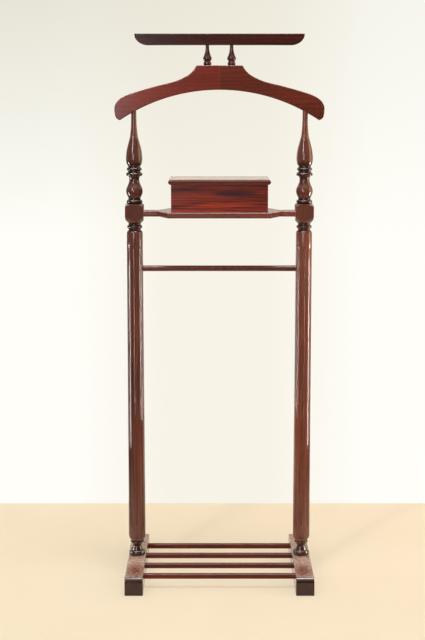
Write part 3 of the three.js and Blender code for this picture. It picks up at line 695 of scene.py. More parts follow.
def bevel_picked(width, segments, clamp=True):
    """Edit mode: rounds the picked edges over."""
    bpy.ops.mesh.bevel(offset=width * MM, segments=segments, affect="EDGES", clamp_overlap=clamp)


def soften(piece, width, segments=3, degrees=40):
    """Rounds every edge that is sharper than an angle."""
    finish_with(piece, "BEVEL", width=width * MM, segments=segments, limit_method="ANGLE",
                angle_limit=math.radians(degrees), miter_outer="MITER_ARC", use_clamp_overlap=True)
    return piece


def smooth(piece, degrees=30):
    """Rounds the shading, and keeps edges sharper than the angle crisp."""
    work_on(piece)
    bpy.ops.object.shade_smooth_by_angle(angle=math.radians(degrees))
    return piece


def level(piece, degrees=60):
    """Smooth shading that keeps large flat faces flat in the light, for a board with softened edges."""
    smooth(piece, degrees)
    finish_with(piece, "WEIGHTED_NORMAL", keep_sharp=True, weight=60)
    return piece


def pin(name, axis, radius, start, end, through, chamfer):
    """A short round bar with softened ends."""
    return smooth(soften(peg(name, axis, radius, start, end, through, 24), chamfer, segments=2))


def moved(piece, shift=(0, 0, 0), turn=(0, 0, 0)):
    """Turns a piece about the origin and shifts it, and puts that into its mesh."""
    work_on(piece)
    piece.rotation_euler = turn
    piece.location = at(*shift)
    bpy.ops.object.transform_apply(location=True, rotation=True, scale=True)
    return piece


def copied(piece, name, shift=(0, 0, 0), turn=(0, 0, 0)):
    """A copy with its own mesh, turned about the origin and shifted."""
    work_on(piece)
    bpy.ops.object.duplicate()
    copy = bpy.context.object
    copy.name = copy.data.name = name
    return moved(copy, shift, turn)


def twin_of(piece, name):
    """A copy for the other side of the stand, turned half round."""
    return copied(piece, name, turn=(0, 0, math.pi))


def settle(piece, material, node, body="stand"):
    piece.data.materials.clear()
    piece.data.materials.append(material)
    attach(piece, body)
    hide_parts(node)


print("The workbench is ready")

# %% [markdown]
# ## Curves
#
# Turned mouldings are built from two kinds of curve. A bead is half an ellipse. A flowing curve, such as a
# bulb or a neck, runs smoothly through a few points, so that moving one point reshapes it as a turner would.

# %% Curves
def arc(centre, radii, start, end, steps):
    """Points along part of an ellipse."""
    turns = [start + (end - start) * i / steps for i in range(steps + 1)]
    return [(centre[0] + radii[0] * math.cos(t), centre[1] + radii[1] * math.sin(t)) for t in turns]


def flow(points, steps=8):
    """Points along a smooth curve through a few points, with `steps` to each span."""
    points = [Vector(p) for p in points]
    last = len(points) - 1
    line = []
    for i in range(last):
        before, here = points[max(i - 1, 0)], points[i]
        there, after = points[i + 1], points[min(i + 2, last)]
        leave, arrive = (there - before) / 2, (after - here) / 2
        for step in range(steps):
            t = step / steps
            line.append(
                (2 * here - 2 * there + leave + arrive) * t ** 3
                + (3 * there - 3 * here - 2 * leave - arrive) * t ** 2
                + leave * t
                + here
            )
    return [tuple(p) for p in [*line, points[last]]]


def flowing(height, pairs, steps=6):
    """A moulding whose [rise, radius] pairs give the rise as a share of its height."""
    return height, flow([(share * height, radius) for share, radius in pairs], steps)


def bead(height, radius, root, steps=14):
    """A half-round moulding that stands out from a root."""
    return height, arc((height / 2, root), (height / 2, radius - root), math.pi, 0, steps)


def plain(height, radius):
    """A straight stretch of a turning."""
    return height, [(0, radius), (height, radius)]


def stack(foot, mouldings):
    """Mouldings set on one another, as one profile of [height, radius] pairs."""
    profile = []
    for height, steps in mouldings:
        profile += [(foot + rise, radius) for rise, radius in steps]
        foot += height
    return profile


print("A bead has", len(bead(13.2, 19.4, 14)[1]), "points")

# %% [markdown]
# ## Screws
#
# A screw is turned too. Its profile is a countersunk head and a shank whose radius goes in and out for the
# thread. The same profile without the thread, a little larger, is the drill that makes its hole. The slot is
# cut with a thin board.

# %% Model a screw
Screw = namedtuple("Screw", "head depth radius length")
CLEARANCE = 0.3
THREAD_PITCH = 1.1
THREAD_ROOT = 0.72
HEAD_RIM = 0.15
SLOT_TURN = 0.4


def model_screw(name, size, face, up=1, clearance=0.0):
    """A screw whose head's face has its middle at a point, running up or down. With a clearance, a drill."""
    head, depth, radius, length = size
    if clearance:
        shank = radius + clearance
        profile = [(-3, head + clearance), (0, head + clearance), (depth, shank), (length + clearance, shank)]
        return moved(turn_on_lathe(name, profile, sides=24), face, (0 if up > 0 else math.pi, 0, 0))
    profile = [(0, head - HEAD_RIM), (HEAD_RIM, head), (depth, radius * 0.8)]
    for i in range(int((length - depth - 2 * radius) / THREAD_PITCH)):
        foot = depth + i * THREAD_PITCH
        profile += [(foot + 0.45 * THREAD_PITCH, radius), (foot + 0.95 * THREAD_PITCH, radius * THREAD_ROOT)]
    profile.append((length, 0.15))
    made = turn_on_lathe(name, profile, sides=24)
    slot = 0.16 * head
    carve(made, board("slot", (-head - 1, -slot, -1), (head + 1, slot, 0.4 * depth)))
    return moved(smooth(made), face, (0 if up > 0 else math.pi, 0, SLOT_TURN))


print("Screws are turned when they are needed")

# %% [markdown]
# ## The feet
#
# Each foot is one block of wood, rounded over at both ends and softened along its edges. A cube is
# stretched to the block, and the bevel tool rolls its two top end edges over. The rods enter the inner face
# in drilled sockets, so each foot is drilled with a peg for every rod.

# %% Model the feet
NOSE = 14.0
FOOT_EDGE = 1.6
FOOT_SCREW = Screw(head=5.0, depth=3.5, radius=2.2, length=38.0)
FOOT_SCREW_RECESS = 1.0
rods = [f"shoe_rod_{i}" for i in range(1, 5)]
rod_radius = (span(rods[0])[1].z - span(rods[0])[0].z) / 2


def model_foot(name, low, high):
    foot = board(name, low, high)
    work_on(foot, "EDIT")
    pick("edges", lambda e: middle(e).z > high.z - 1 and abs(abs(middle(e).y) - high.y) < 1)
    bevel_picked(NOSE, 16, clamp=False)
    soften(foot, FOOT_EDGE, segments=4, degrees=50)
    for rod in rods:
        inner_end, centre = span(rod)[0].x, centre_of(rod)
        drill(foot, "x", rod_radius + CLEARANCE, inner_end - CLEARANCE, -inner_end, centre, 48)
    screw_head = ((low.x + high.x) / 2, 0, low.z + FOOT_SCREW_RECESS)
    carve(foot, model_screw("drill", FOOT_SCREW, screw_head, clearance=CLEARANCE))
    return level(foot)


foot_low, foot_high = span("foot_left")
left_foot = model_foot("left_foot", foot_low, foot_high)
right_foot = twin_of(left_foot, "right_foot")
print("Each foot has", len(left_foot.data.polygons), "faces")

# %% [markdown]
# The feet are darker at their ends, where the end grain drank the stain, and dusty on top, where shoes
# stand. Near the front they were rubbed, and the red shows in a ragged patch. The patch is a soft egg, placed
# by a Mapping node and torn by noise. Folding X to its absolute value puts it on both feet.

# %% Finish the feet
END_GRAIN_START, END_GRAIN_FULL = 0.146, 0.16
PATCH_Y, PATCH_RADII = -122, (40, 76, 40)
post_middle = (foot_high.x + foot_low.x) / -2


def soft_spot(tree, place, centre, radii):
    """1 in the middle of an egg-shaped spot, and 0 outside it."""
    scale = tuple(1 / (r * MM) for r in radii)
    shift = tuple(-c * MM * s for c, s in zip(centre, scale))
    mapped = add(tree, "Mapping", {"Vector": place, "Location": shift, "Scale": scale})
    return add(tree, "TexGradient", {"Vector": mapped.outputs[0]}, gradient_type="SPHERICAL").outputs[1]


def rubbed_patch(tree, place):
    """The patch near the front of both feet where shoes rubbed the dust away."""
    parts = split(tree, place)
    folded = add(tree, "CombineXYZ", {0: maths(tree, "ABSOLUTE", parts["X"]), 1: parts["Y"], 2: parts["Z"]})
    spot = soft_spot(tree, folded.outputs[0], (post_middle, PATCH_Y, foot_high.z), PATCH_RADII)
    return remap(tree, times(tree, spot, noise(tree, place, 160.0, 4.0)), 0.08, 0.42, 0.0, 0.8)


def foot_details(tree, place, wood):
    """The rubbed patch, and the dark ends."""
    along = split(tree, vector_maths(tree, "ABSOLUTE", place))["Y"]
    dark_end = remap(tree, along, END_GRAIN_START, END_GRAIN_FULL)
    wood = blended(tree, rubbed_patch(tree, place), wood, colour(140, 60, 54), 0.55)
    return blended(tree, dark_end, wood, colour(44, 24, 20), 0.85)


foot_finish = lacquered("foot lacquer", "y", (118, 48, 34), (72, 28, 22), 3.1, dust=1.0, patch=140.0,
                        extra=foot_details, rubbed=rubbed_patch, rough=0.12)
settle(left_foot, foot_finish, "foot_left")
settle(right_foot, foot_finish, "foot_right")
print("The feet are finished with", len(foot_finish.node_tree.nodes), "nodes")

# %% [markdown]
# ## The shoe rods and the trouser bar
#
# These are dowels, but not machine-perfect ones: they were scraped by hand, and their highlights wander a
# little. So each is spun from a profile whose radius swells and thins by about a tenth of a millimetre, with
# small chamfers at its ends.

# %% Model the rods and the bar
CHAMFER = 0.8
SCRAPED = 0.12
SCRAPED_STEPS = 24


def model_rod(name, node, phase):
    low, high = span(node)
    radius = (high.z - low.z) / 2
    length = high.x - low.x
    swell = [
        (CHAMFER + (length - 2 * CHAMFER) * i / SCRAPED_STEPS,
         radius - SCRAPED * (0.5 + 0.5 * math.sin(phase + 0.9 * i) * math.cos(0.37 * i + 2 * phase)))
        for i in range(SCRAPED_STEPS + 1)
    ]
    profile = [(0, radius - CHAMFER), *swell, (length, radius - CHAMFER)]
    rod = turn_on_lathe(name, profile, sides=48)
    return smooth(moved(rod, (low.x, (low.y + high.y) / 2, (low.z + high.z) / 2), (0, math.pi / 2, 0)))


rod_finish = lacquered("rod lacquer", "x", (124, 50, 32), (84, 34, 24), 7.7, band=0.004, rough=0.12,
                       coat=0.42)
for i, node in enumerate(rods):
    settle(model_rod(f"shoe_rod_no_{i + 1}", node, 1.7 * i), rod_finish, node)
bar_finish = lacquered("bar lacquer", "x", (122, 64, 52), (86, 46, 38), 5.2, band=0.004, rough=0.2)
settle(model_rod("bar_for_trousers", "trouser_bar", 2.4), bar_finish, "trouser_bar")
print("Five dowels lie between the posts")

# %% [markdown]
# ## The posts
#
# A post is one length of wood on the lathe. Its profile is a stack of mouldings from the foot up. The block
# is spun too, as the turner makes it: a fat drum with rounded shoulders, which is sliced flat later. The
# column gets extra rings of corners where its flutes begin and end.

# %% Draw the post's profile
SEAT = 0.3
GROOVE, GROOVE_RADIUS = 3.6, 14.4
BLOCK_HALF, BLOCK_HEIGHT = 21.0, 46.0
BLOCK_CORNER = BLOCK_HALF * math.sqrt(2) + 1
COLUMN_FOOT_RADIUS, COLUMN_HEAD_RADIUS = 20.0, 18.8
COLUMN_LENGTH = 718.5
NECK_RADIUS, NECK_SPARE = 6.0, 8.0
FLUTE_WIDTH, FLUTE_DEPTH = 4.0, 1.3
FLUTE_START, FLUTE_END = 24.0, 28.5
END_STEPS = (0.0, 0.12, 0.4, 0.8, 1.3, 2.0)

post_x = centre_of("foot_right").x
post_foot = foot_high.z + SEAT
groove = plain(GROOVE, GROOVE_RADIUS)
lower_mouldings = [
    bead(13.2, 19.4, 14),
    flowing(17.8, [(0, 14), (0.34, 11.2), (0.53, 10.2), (0.76, 12), (1, 14.5)]),
    bead(3.7, 16.3, 14.6),
    flowing(15, [(0, 14), (0.27, 16.2), (0.6, 19), (1, 20)]),
]
column_bottom = post_foot + sum(height for height, _ in lower_mouldings)
column_top = column_bottom + COLUMN_LENGTH


def column_radius(height):
    share = (height - column_bottom) / COLUMN_LENGTH
    return COLUMN_FOOT_RADIUS + (COLUMN_HEAD_RADIUS - COLUMN_FOOT_RADIUS) * share


flute_low, flute_high = column_bottom + FLUTE_START, column_top - FLUTE_END
flute_rings = [flute_low + step for step in END_STEPS]
flute_rings += [flute_low + (flute_high - flute_low) * i / 12 for i in range(1, 12)]
flute_rings += [flute_high - step for step in reversed(END_STEPS)]

block_mouldings = [
    flowing(10.5, [(0, 18.8), (0.48, 18.4), (0.76, 17.4), (1, GROOVE_RADIUS)]),
    groove,
    bead(8.5, 17.8, 14.4),
    plain(3.5, 14.4),
]
block_bottom = column_top + sum(height for height, _ in block_mouldings)
block_top = block_bottom + BLOCK_HEIGHT
post_profile = [
    *stack(post_foot, lower_mouldings),
    *[(height, column_radius(height)) for height in flute_rings],
    *stack(column_top, block_mouldings),
    *flow([(block_bottom, 14.4), (block_bottom + 5.5, 20), (block_bottom + 11, 24.5),
           (block_bottom + 16.5, BLOCK_CORNER)], 5),
    *flow([(block_top - 7, BLOCK_CORNER), (block_top - 1.75, 22), (block_top, 19)], 5),
    *stack(block_top, [
        bead(9, 18.6, 14.4),
        groove,
        flowing(44.5, [(0, 13.8), (0.135, 17), (0.315, 19.4), (0.495, 18.5), (0.675, 15), (0.855, 12.1),
                       (1, 11.6)]),
        flowing(6, [(0, 11.6), (0.58, 12.6), (1, 14.4)]),
        bead(8.5, 19.2, 15),
        groove,
        bead(7.5, 17.6, 14.2),
        groove,
        flowing(123, [(0, 14.2), (0.03, 17), (0.1, 18.8), (0.195, 18.7), (0.31, 16.7), (0.425, 13),
                      (0.535, 9.4), (0.65, 7.6), (0.78, 6.4), (1, NECK_RADIUS)]),
    ]),
]
post_top = post_profile[-1][0]
post_profile.append((post_top + NECK_SPARE, NECK_RADIUS))
print("The profile has", len(post_profile), "points and ends", round(post_top, 1), "mm up")

# %% [markdown]
# The spun drum is sliced flat on four sides with bisect, so that its curved corners come out by themselves,
# and the neck is cut on the slant of the hanger.

# %% Slice the block and the neck
ARCH_RADIUS = 412.0
BLOCK_ARRIS = 0.8
HANGER_GAP = 0.05
NECK_REACH = 40


def slice_off(point, normal):
    """Edit mode: cuts the picked faces with a plane, drops what lies outside it and fills the cut."""
    bpy.ops.mesh.bisect(plane_co=point, plane_no=normal, use_fill=True, clear_outer=True)


def slice_block(x):
    """Cuts the drum of the block to four flat sides."""
    for across, along in ((1, 0), (-1, 0), (0, 1), (0, -1)):
        pick("faces", lambda face: block_bottom + 0.01 < middle(face).z < block_top - 0.01)
        slice_off(at(x + across * BLOCK_HALF, along * BLOCK_HALF, 0), (across, along, 0))
    pick("edges", lambda e: abs(abs(middle(e).x - x) - BLOCK_HALF) < 0.01
         and abs(abs(middle(e).y) - BLOCK_HALF) < 0.01)
    bevel_picked(BLOCK_ARRIS, 3, clamp=False)


def cut_to_hanger(x):
    """Slants the top of the neck to the underside of the hanger."""
    lean = math.asin(x / ARCH_RADIUS)
    pick("faces", lambda face: middle(face).z > post_top - NECK_REACH)
    slice_off(at(x, 0, post_top - HANGER_GAP), (math.sin(lean), 0, math.cos(lean)))


print("The block is", BLOCK_HALF * 2, "mm square")

# %% [markdown]
# The eight flutes are pressed in last. The corners of the mesh lie on upright lines, and the lines nearest to
# a flute's middle are drawn in towards the axis, less and less towards its round ends. A Boolean cut with
# round-nosed rods would give the same flutes, but its long thin faces shade badly.

# %% Press the flutes and finish the post
POST_SIDES, FLUTES = 192, 8
flute_radius = (FLUTE_WIDTH ** 2 / 4 + FLUTE_DEPTH ** 2) / (2 * FLUTE_DEPTH)


def flute_depth(aside, past):
    """How deep a flute is at a distance from its middle line and past the centre of its round end."""
    reach = flute_radius ** 2 - aside ** 2 - past ** 2
    return max(0.0, math.sqrt(max(reach, 0.0)) - flute_radius + FLUTE_DEPTH)


def press_flutes(x):
    """Draws the lines of the mesh nearest to each flute's middle in towards the axis."""
    step = math.tau / POST_SIDES
    between = POST_SIDES // FLUTES

    def line_of(vert):
        turn = round(math.atan2(vert.co.y, vert.co.x - x * MM) / step) % between
        return min(turn, between - turn)

    half = FLUTE_WIDTH / 2
    ends = sorted({*flute_rings[:len(END_STEPS) - 1], *flute_rings[1 - len(END_STEPS):]})
    groups = [([ring], half - min(ring - flute_low, flute_high - ring)) for ring in ends]
    groups.append(([ring for ring in flute_rings if ring not in ends], 0.0))
    for rings, past in groups:
        radius = column_radius(rings[0])
        for line in range(4):
            depth = flute_depth(radius * math.sin(line * step), past)
            if depth < 0.01:
                continue
            pick("verts", lambda v: line_of(v) == line
                 and any(abs(v.co.z / MM - ring) < 0.01 for ring in rings))
            inward = (radius - depth) / radius
            bpy.ops.transform.resize(value=(inward, inward, 1), center_override=at(x, 0, 0))


def model_post(name, x):
    post = turn_on_lathe(name, post_profile, POST_SIDES, (x, 0))
    work_on(post, "EDIT")
    slice_block(x)
    cut_to_hanger(x)
    press_flutes(x)
    bar_low, bar_high = span("trouser_bar")
    drill(post, "x", (bar_high.z - bar_low.z) / 2 + CLEARANCE, bar_low.x - CLEARANCE, 0,
          (0, 0, (bar_low.z + bar_high.z) / 2), 48)
    return smooth(post, 32)


left_post = model_post("left_post", -post_x)
right_post = twin_of(left_post, "right_post")
print("Each post has", len(left_post.data.polygons), "faces")

# %% [markdown]
# The small mouldings are nearly black: the stain pooled there and was never rubbed off. They are given to
# the material as heights, from the foot of a zone to its head. The block and the turnings above it are
# browner than the column, and the right post is lighter than the left one.

# %% Finish the posts
ring_zones = [
    (post_foot, column_bottom - 14.5),
    (column_top + 7, block_bottom + 1),
    (block_top - 1, block_top + 9 + GROOVE + 2),
    (block_top + 58, block_top + 58 + 35.7),
]
brown_zones = [(block_bottom, block_top + 9), (block_top + 9, post_top - 60)]


def post_details(tree, place, wood):
    return blended(tree, height_mask(tree, place, brown_zones), wood, colour(84, 50, 43), 0.6)


def post_finish(name, light, dark, seed):
    return lacquered(name, "z", light, dark, seed, band=0.007, streak=0.6, rough=0.07, dull=0.75,
                     texture=0.15, extra=post_details, stained=ring_zones)


settle(left_post, post_finish("left post lacquer", (124, 72, 60), (86, 53, 45), 1.3), "post_left")
settle(right_post, post_finish("right post lacquer", (150, 86, 69), (104, 61, 50), 2.9), "post_right")
print("The stain is darkest in", len(ring_zones), "zones")

# %% [markdown]
# ## The shelf
#
# The shelf is sawn to an outline that is wide in the middle and sweeps in to a narrow wing at each end. Its
# edge is rounded over from both faces, so that the upper half catches the light and the lower half stays
# dark. Four screws come up through it into the box.

# %% Model the shelf
SHELF_DEPTH_HALF, WING_DEPTH_HALF = 70.0, 20.0
WING_LENGTH, WING_SWEEP, WING_GAP = 56.7, 24.0, 0.03
SHELF_EDGE = 5.2
SHELF_SCREW = Screw(head=3.2, depth=2.2, radius=1.5, length=24.0)
SHELF_SCREW_RECESS = 0.4

shelf_low, shelf_high = span("shelf")
wing_end = post_x - BLOCK_HALF - WING_GAP
shelf_middle = post_x - BLOCK_HALF - CLEARANCE - WING_LENGTH
screw_spots = [centre_of(f"shelf_screw_{i}").xy for i in range(1, 5)]

quarter = [
    *flow([(shelf_middle, SHELF_DEPTH_HALF),
           (shelf_middle + 0.42 * WING_SWEEP, 0.6 * SHELF_DEPTH_HALF + 0.4 * WING_DEPTH_HALF),
           (shelf_middle + WING_SWEEP, WING_DEPTH_HALF)], 8),
    (wing_end, WING_DEPTH_HALF),
]
half = [*quarter, *[(x, -y) for x, y in reversed(quarter)]]
shelf_outline = [*half, *[(-x, y) for x, y in reversed(half)]]
tray = saw_out("tray_board", shelf_outline, "xy", shelf_low.z, shelf_high.z)
work_on(tray, "EDIT")
pick("edges", lambda e: abs(e.verts[0].co.z - e.verts[1].co.z) < 1e-6 and abs(middle(e).x) < wing_end - 1)
bevel_picked(SHELF_EDGE, 7)
for x, y in screw_spots:
    carve(tray, model_screw("drill", SHELF_SCREW, (x, y, shelf_low.z + SHELF_SCREW_RECESS),
                            clearance=CLEARANCE))
level(tray, 50)
shelf_finish = lacquered("shelf lacquer", "x", (148, 79, 68), (104, 59, 51), 9.4, band=0.008, dust=0.5,
                         patch=45.0, rough=0.2)
settle(tray, shelf_finish, "shelf")
print("The shelf's outline has", len(shelf_outline), "corners")

# %% [markdown]
# ## The box
#
# Four boards stand on the shelf, the front and the back covering the ends of the sides. Each board is a cube
# with its arrises softened. The back and the lid are let in for the hinges, the front and the back are
# drilled for the screws, and a tiny hole in the middle of the front marks where a pull was once screwed in.

# %% Model the box
HOLE_RADIUS, HOLE_DEPTH = 1.3, 6.0
HINGE_HALF = 16.0
HINGE_LEAF_DEPTH, HINGE_LEAF_FACE, HINGE_LEAF_BACK = 8.0, 0.2, 1.2
KNUCKLE_RADIUS, PIN_RADIUS = 2.2, 0.9
HINGE_SCREW = Screw(head=1.8, depth=0.9, radius=0.9, length=8.0)
HINGE_SCREW_IN, HINGE_SCREW_HOLE, HINGE_SCREW_SINK = 5.0, 8.6, 0.1
HINGE_SCREWS_ASIDE = (-10.0, 10.0)

hinge_places = {side: centre_of(f"hinge_{side}_pin").x for side in ("left", "right")}
hinge_y, hinge_z = centre_of("hinge_left_pin").yz


def let_in(piece, up):
    """Cuts a piece for both hinges, on the side of the joint that `up` gives."""
    for x in hinge_places.values():
        reach = HINGE_HALF + CLEARANCE
        floor = hinge_z + up * (HINGE_LEAF_BACK + CLEARANCE)
        carve(
            piece,
            board("recess", (x - reach, hinge_y - HINGE_LEAF_DEPTH - CLEARANCE, min(hinge_z, floor)),
                  (x + reach, hinge_y + 1, max(hinge_z, floor))),
            peg("round", "x", KNUCKLE_RADIUS + CLEARANCE, x - reach, x + reach, (x, hinge_y, hinge_z)),
        )
        for aside in HINGE_SCREWS_ASIDE:
            start, end = sorted((hinge_z, hinge_z + up * HINGE_SCREW_HOLE))
            drill(piece, "z", HINGE_SCREW.radius + CLEARANCE, start, end,
                  (x + aside, hinge_y - HINGE_SCREW_IN, 0))


def model_panel(name, node, arris=0.6):
    return soften(board(name, *span(node)), arris)


front_low, front_high = span("box_front")
back_high = span("box_back")[1]
front = model_panel("front_panel", "box_front")
drill(front, "y", HOLE_RADIUS, front_low.y - 1, front_low.y + HOLE_DEPTH,
      (0, 0, (front_low.z + front_high.z) / 2), 24)
back = model_panel("back_panel", "box_back")
let_in(back, -1)
screw_end = shelf_low.z + SHELF_SCREW_RECESS + SHELF_SCREW.length + CLEARANCE
for panel in (front, back):
    for x, y in screw_spots:
        if (y < 0) == (panel is front):
            drill(panel, "z", SHELF_SCREW.radius + CLEARANCE, front_low.z - 1, screw_end, (x, y, 0))
side_panels = {side: model_panel(f"{side}_panel", f"box_{side}_side", 0.4) for side in ("left", "right")}
for panel in (front, back, *side_panels.values()):
    level(panel)
print("The box stands", round(front_high.z - front_low.z, 1), "mm high")

# %% [markdown]
# The lid starts as a plane the size of the box's top. Each row of its nosing is one extrusion upwards and one
# scaling, as if the edge were planed with a moulding plane.

# %% Model the lid
LID_ROWS = flow([(2.8, 0.0), (5.7, 3.5), (6.4, 5.8), (5.7, 8.1), (3.2, 12.0)], 4)
LID_EDGE = 0.7
lid_y = (front_low.y + back_high.y) / 2
box_half = Vector((front_high.x, (back_high.y - front_low.y) / 2))


def row_size(out):
    """Half the width and half the depth of the lid where its edge stands out from the box."""
    return box_half.x + out, box_half.y + out


put_down()
bpy.ops.mesh.primitive_plane_add(size=2, location=at(0, lid_y, span("box_lid")[0].z))
lid = named("lid_board", at(*row_size(LID_ROWS[0][0]), 1 / MM))
work_on(lid, "EDIT")
bpy.ops.mesh.select_all(action="SELECT")
for (out, rise), (next_out, next_rise) in zip(LID_ROWS, LID_ROWS[1:]):
    bpy.ops.mesh.extrude_region_move(TRANSFORM_OT_translate={"value": at(0, 0, next_rise - rise)})
    growth = [there / here for here, there in zip(row_size(out), row_size(next_out))]
    bpy.ops.transform.resize(value=(*growth, 1), center_override=at(0, lid_y, 0))
tidy()
soften(lid, LID_EDGE, degrees=25)
let_in(lid, 1)
level(lid, 30)
print("The lid rises in", len(LID_ROWS), "rows")

# %% [markdown]
# The front has the liveliest wood of the whole stand. Orange streaks and dark lines run along it, the streaks
# mostly low down, and a long purple blotch lies right of the middle, where the heartwood shows.

# %% Finish the box
BLOTCH, BLOTCH_RADII = (34, front_low.y, 911), (84, 60, 15)


def front_details(tree, place, wood):
    def along_grain(scale, shift, detail):
        stretch = add(tree, "Mapping", {"Vector": place, "Scale": scale, "Location": (shift, 0, 0)})
        return noise(tree, stretch.outputs[0], 1.0, detail)

    low_down = remap(tree, split(tree, place)["Z"], (front_high.z - 12) * MM, (front_low.z + 12) * MM, 0.1)
    bright = ramp(tree, along_grain((6, 1, 150), 1.7, 3.0), [(0.48, 0.0), (0.62, 1.0)])
    wood = blended(tree, times(tree, bright, times(tree, low_down, 0.75)), wood, colour(188, 62, 34))
    dark_lines = ramp(tree, along_grain((7, 1, 380), 3.1, 4.0), [(0.46, 0.0), (0.62, 1.0)])
    wood = blended(tree, dark_lines, wood, colour(50, 22, 19), 0.8)
    spot = times(tree, soft_spot(tree, place, BLOTCH, BLOTCH_RADII), along_grain((14, 1, 240), 5.3, 3.0))
    smear = remap(tree, spot, 0.16, 0.36)
    return blended(tree, smear, wood, colour(60, 34, 44), 0.85)


front_finish = lacquered("box front lacquer", "x", (152, 58, 41), (90, 37, 29), 2.2, band=0.005,
                         streak=0.8, rough=0.2, extra=front_details)
box_finish = lacquered("box lacquer", "x", (132, 54, 40), (84, 34, 27), 6.1, streak=0.7, rough=0.2)
side_finish = lacquered("box side lacquer", "y", (130, 54, 40), (84, 34, 27), 6.9, streak=0.6, rough=0.2)
lid_finish = lacquered("lid lacquer", "x", (104, 43, 35), (70, 31, 26), 4.8, dust=0.9, patch=28.0, rough=0.1)
settle(front, front_finish, "box_front")
settle(back, box_finish, "box_back")
for side, panel in side_panels.items():
    settle(panel, side_finish, f"box_{side}_side")
settle(lid, lid_finish, "box_lid", "lid")
print("The box and its lid are finished")

# %% [markdown]
# ## The hinges
#
# Each hinge has two brass leaves with knuckles that share a pin. The knuckles are cylinders joined to the
# leaf, and the pin's hole and the countersinks are carved afterwards. The right hinge is a copy of the left.

# %% Model the hinges
WEB_OVERLAP, PIN_PLAY, COUNTERSINK_PLAY = 0.4, 0.1, 0.15


def model_leaf(name, x, up, knuckles):
    """A leaf on the side of the joint that `up` gives, with knuckles at the given thirds of its length."""
    faces = sorted((hinge_z + up * HINGE_LEAF_FACE, hinge_z + up * HINGE_LEAF_BACK))
    clear = KNUCKLE_RADIUS + CLEARANCE
    axis = (x, hinge_y, hinge_z)
    leaf = soften(board(name, (x - HINGE_HALF, hinge_y - HINGE_LEAF_DEPTH, faces[0]),
                        (x + HINGE_HALF, hinge_y - clear, faces[1])), 0.2, segments=2)
    third = 2 * HINGE_HALF / 3
    for i in knuckles:
        start = x - HINGE_HALF + i * third + (CLEARANCE / 2 if i > 0 else 0)
        end = x - HINGE_HALF + (i + 1) * third - (CLEARANCE / 2 if i < 2 else 0)
        carve(
            leaf,
            board("web", (start, hinge_y - clear - WEB_OVERLAP, faces[0]), (end, hinge_y, faces[1])),
            peg("knuckle", "x", KNUCKLE_RADIUS, start, end, axis, 32),
            operation="UNION",
        )
    drill(leaf, "x", PIN_RADIUS + PIN_PLAY, x - 2 * HINGE_HALF, x + 2 * HINGE_HALF, axis, 24)
    for aside in HINGE_SCREWS_ASIDE:
        spot = (x + aside, hinge_y - HINGE_SCREW_IN, hinge_z + up * HINGE_LEAF_FACE)
        carve(leaf, model_screw("drill", HINGE_SCREW, spot, up, clearance=COUNTERSINK_PLAY))
    return smooth(leaf)


left_x, right_x = hinge_places["left"], hinge_places["right"]
pin_low, pin_high = span("hinge_left_pin")
hinge_parts = {
    "box_leaf": model_leaf("box_leaf_left", left_x, -1, (0, 2)),
    "lid_leaf": model_leaf("lid_leaf_left", left_x, 1, (1,)),
    "pin": pin("pin_left", "x", PIN_RADIUS, pin_low.x, pin_high.x, (0, hinge_y, hinge_z), 0.15),
}
for holder, up in (("box", -1), ("lid", 1)):
    face = hinge_z + up * (HINGE_LEAF_FACE + HINGE_SCREW_SINK)
    for i, aside in enumerate(HINGE_SCREWS_ASIDE):
        name = f"{holder}_screw_{i + 1}"
        spot = (left_x + aside, hinge_y - HINGE_SCREW_IN, face)
        hinge_parts[name] = model_screw(f"{name}_left", HINGE_SCREW, spot, up)
print("A hinge has", len(hinge_parts), "parts")

# %% [markdown]
# The metals share one recipe too: two tones in soft patches, rougher where they are duller, and nearly black
# in the hollows. The lid's leaf and its screws ride on the lid, and the rest stays with the box.

# %% Finish the hinges
METAL_HOLLOW = (0.02, 0.014, 0.01, 1)


def metal(name, bright, dull, rough, seed):
    material, tree = new_material(name)
    place = add(tree, "Mapping", {"Vector": placed(tree), "Location": (seed, seed, 0)}).outputs[0]
    patches = noise(tree, place, 260.0, 4.0)
    tone = blended(tree, ramp(tree, patches, [(0.35, 0.0), (0.65, 1.0)]), colour(*bright), colour(*dull))
    hollow = use(tree, relief_group, {"Reach": 0.0015})["Hollow"]
    bump = add(tree, "Bump", {"Height": patches, "Strength": 0.2, "Distance": 0.0001})
    feed(tree, tree.nodes["Principled BSDF"], {
        "Base Color": blended(tree, hollow, tone, METAL_HOLLOW, 0.7),
        "Roughness": remap(tree, patches, 0.0, 1.0, rough - 0.1, rough + 0.15),
        "Metallic": 1.0, "Normal": bump.outputs[0],
    })
    return material


brass = metal("old brass", (196, 156, 84), (128, 92, 48), 0.38, 0.3)
for part, piece in hinge_parts.items():
    body = "lid" if part.startswith("lid") else "stand"
    twin = copied(piece, piece.name.replace("left", "right"), (right_x - left_x, 0, 0))
    settle(piece, brass, f"hinge_left_{part}", body)
    settle(twin, brass, f"hinge_right_{part}", body)
print("Both hinges are finished")

# %% [markdown]
# ## The coat hanger
#
# The hanger is two mirrored halves, glued on the centre line over two dowels. The outline is drawn once: the
# flat crown, the shoulder, the curled tip and the arch below. Its long edges are rounded, but the two faces
# that meet in the middle only lose their arris, so that the joint shows as a fine line.

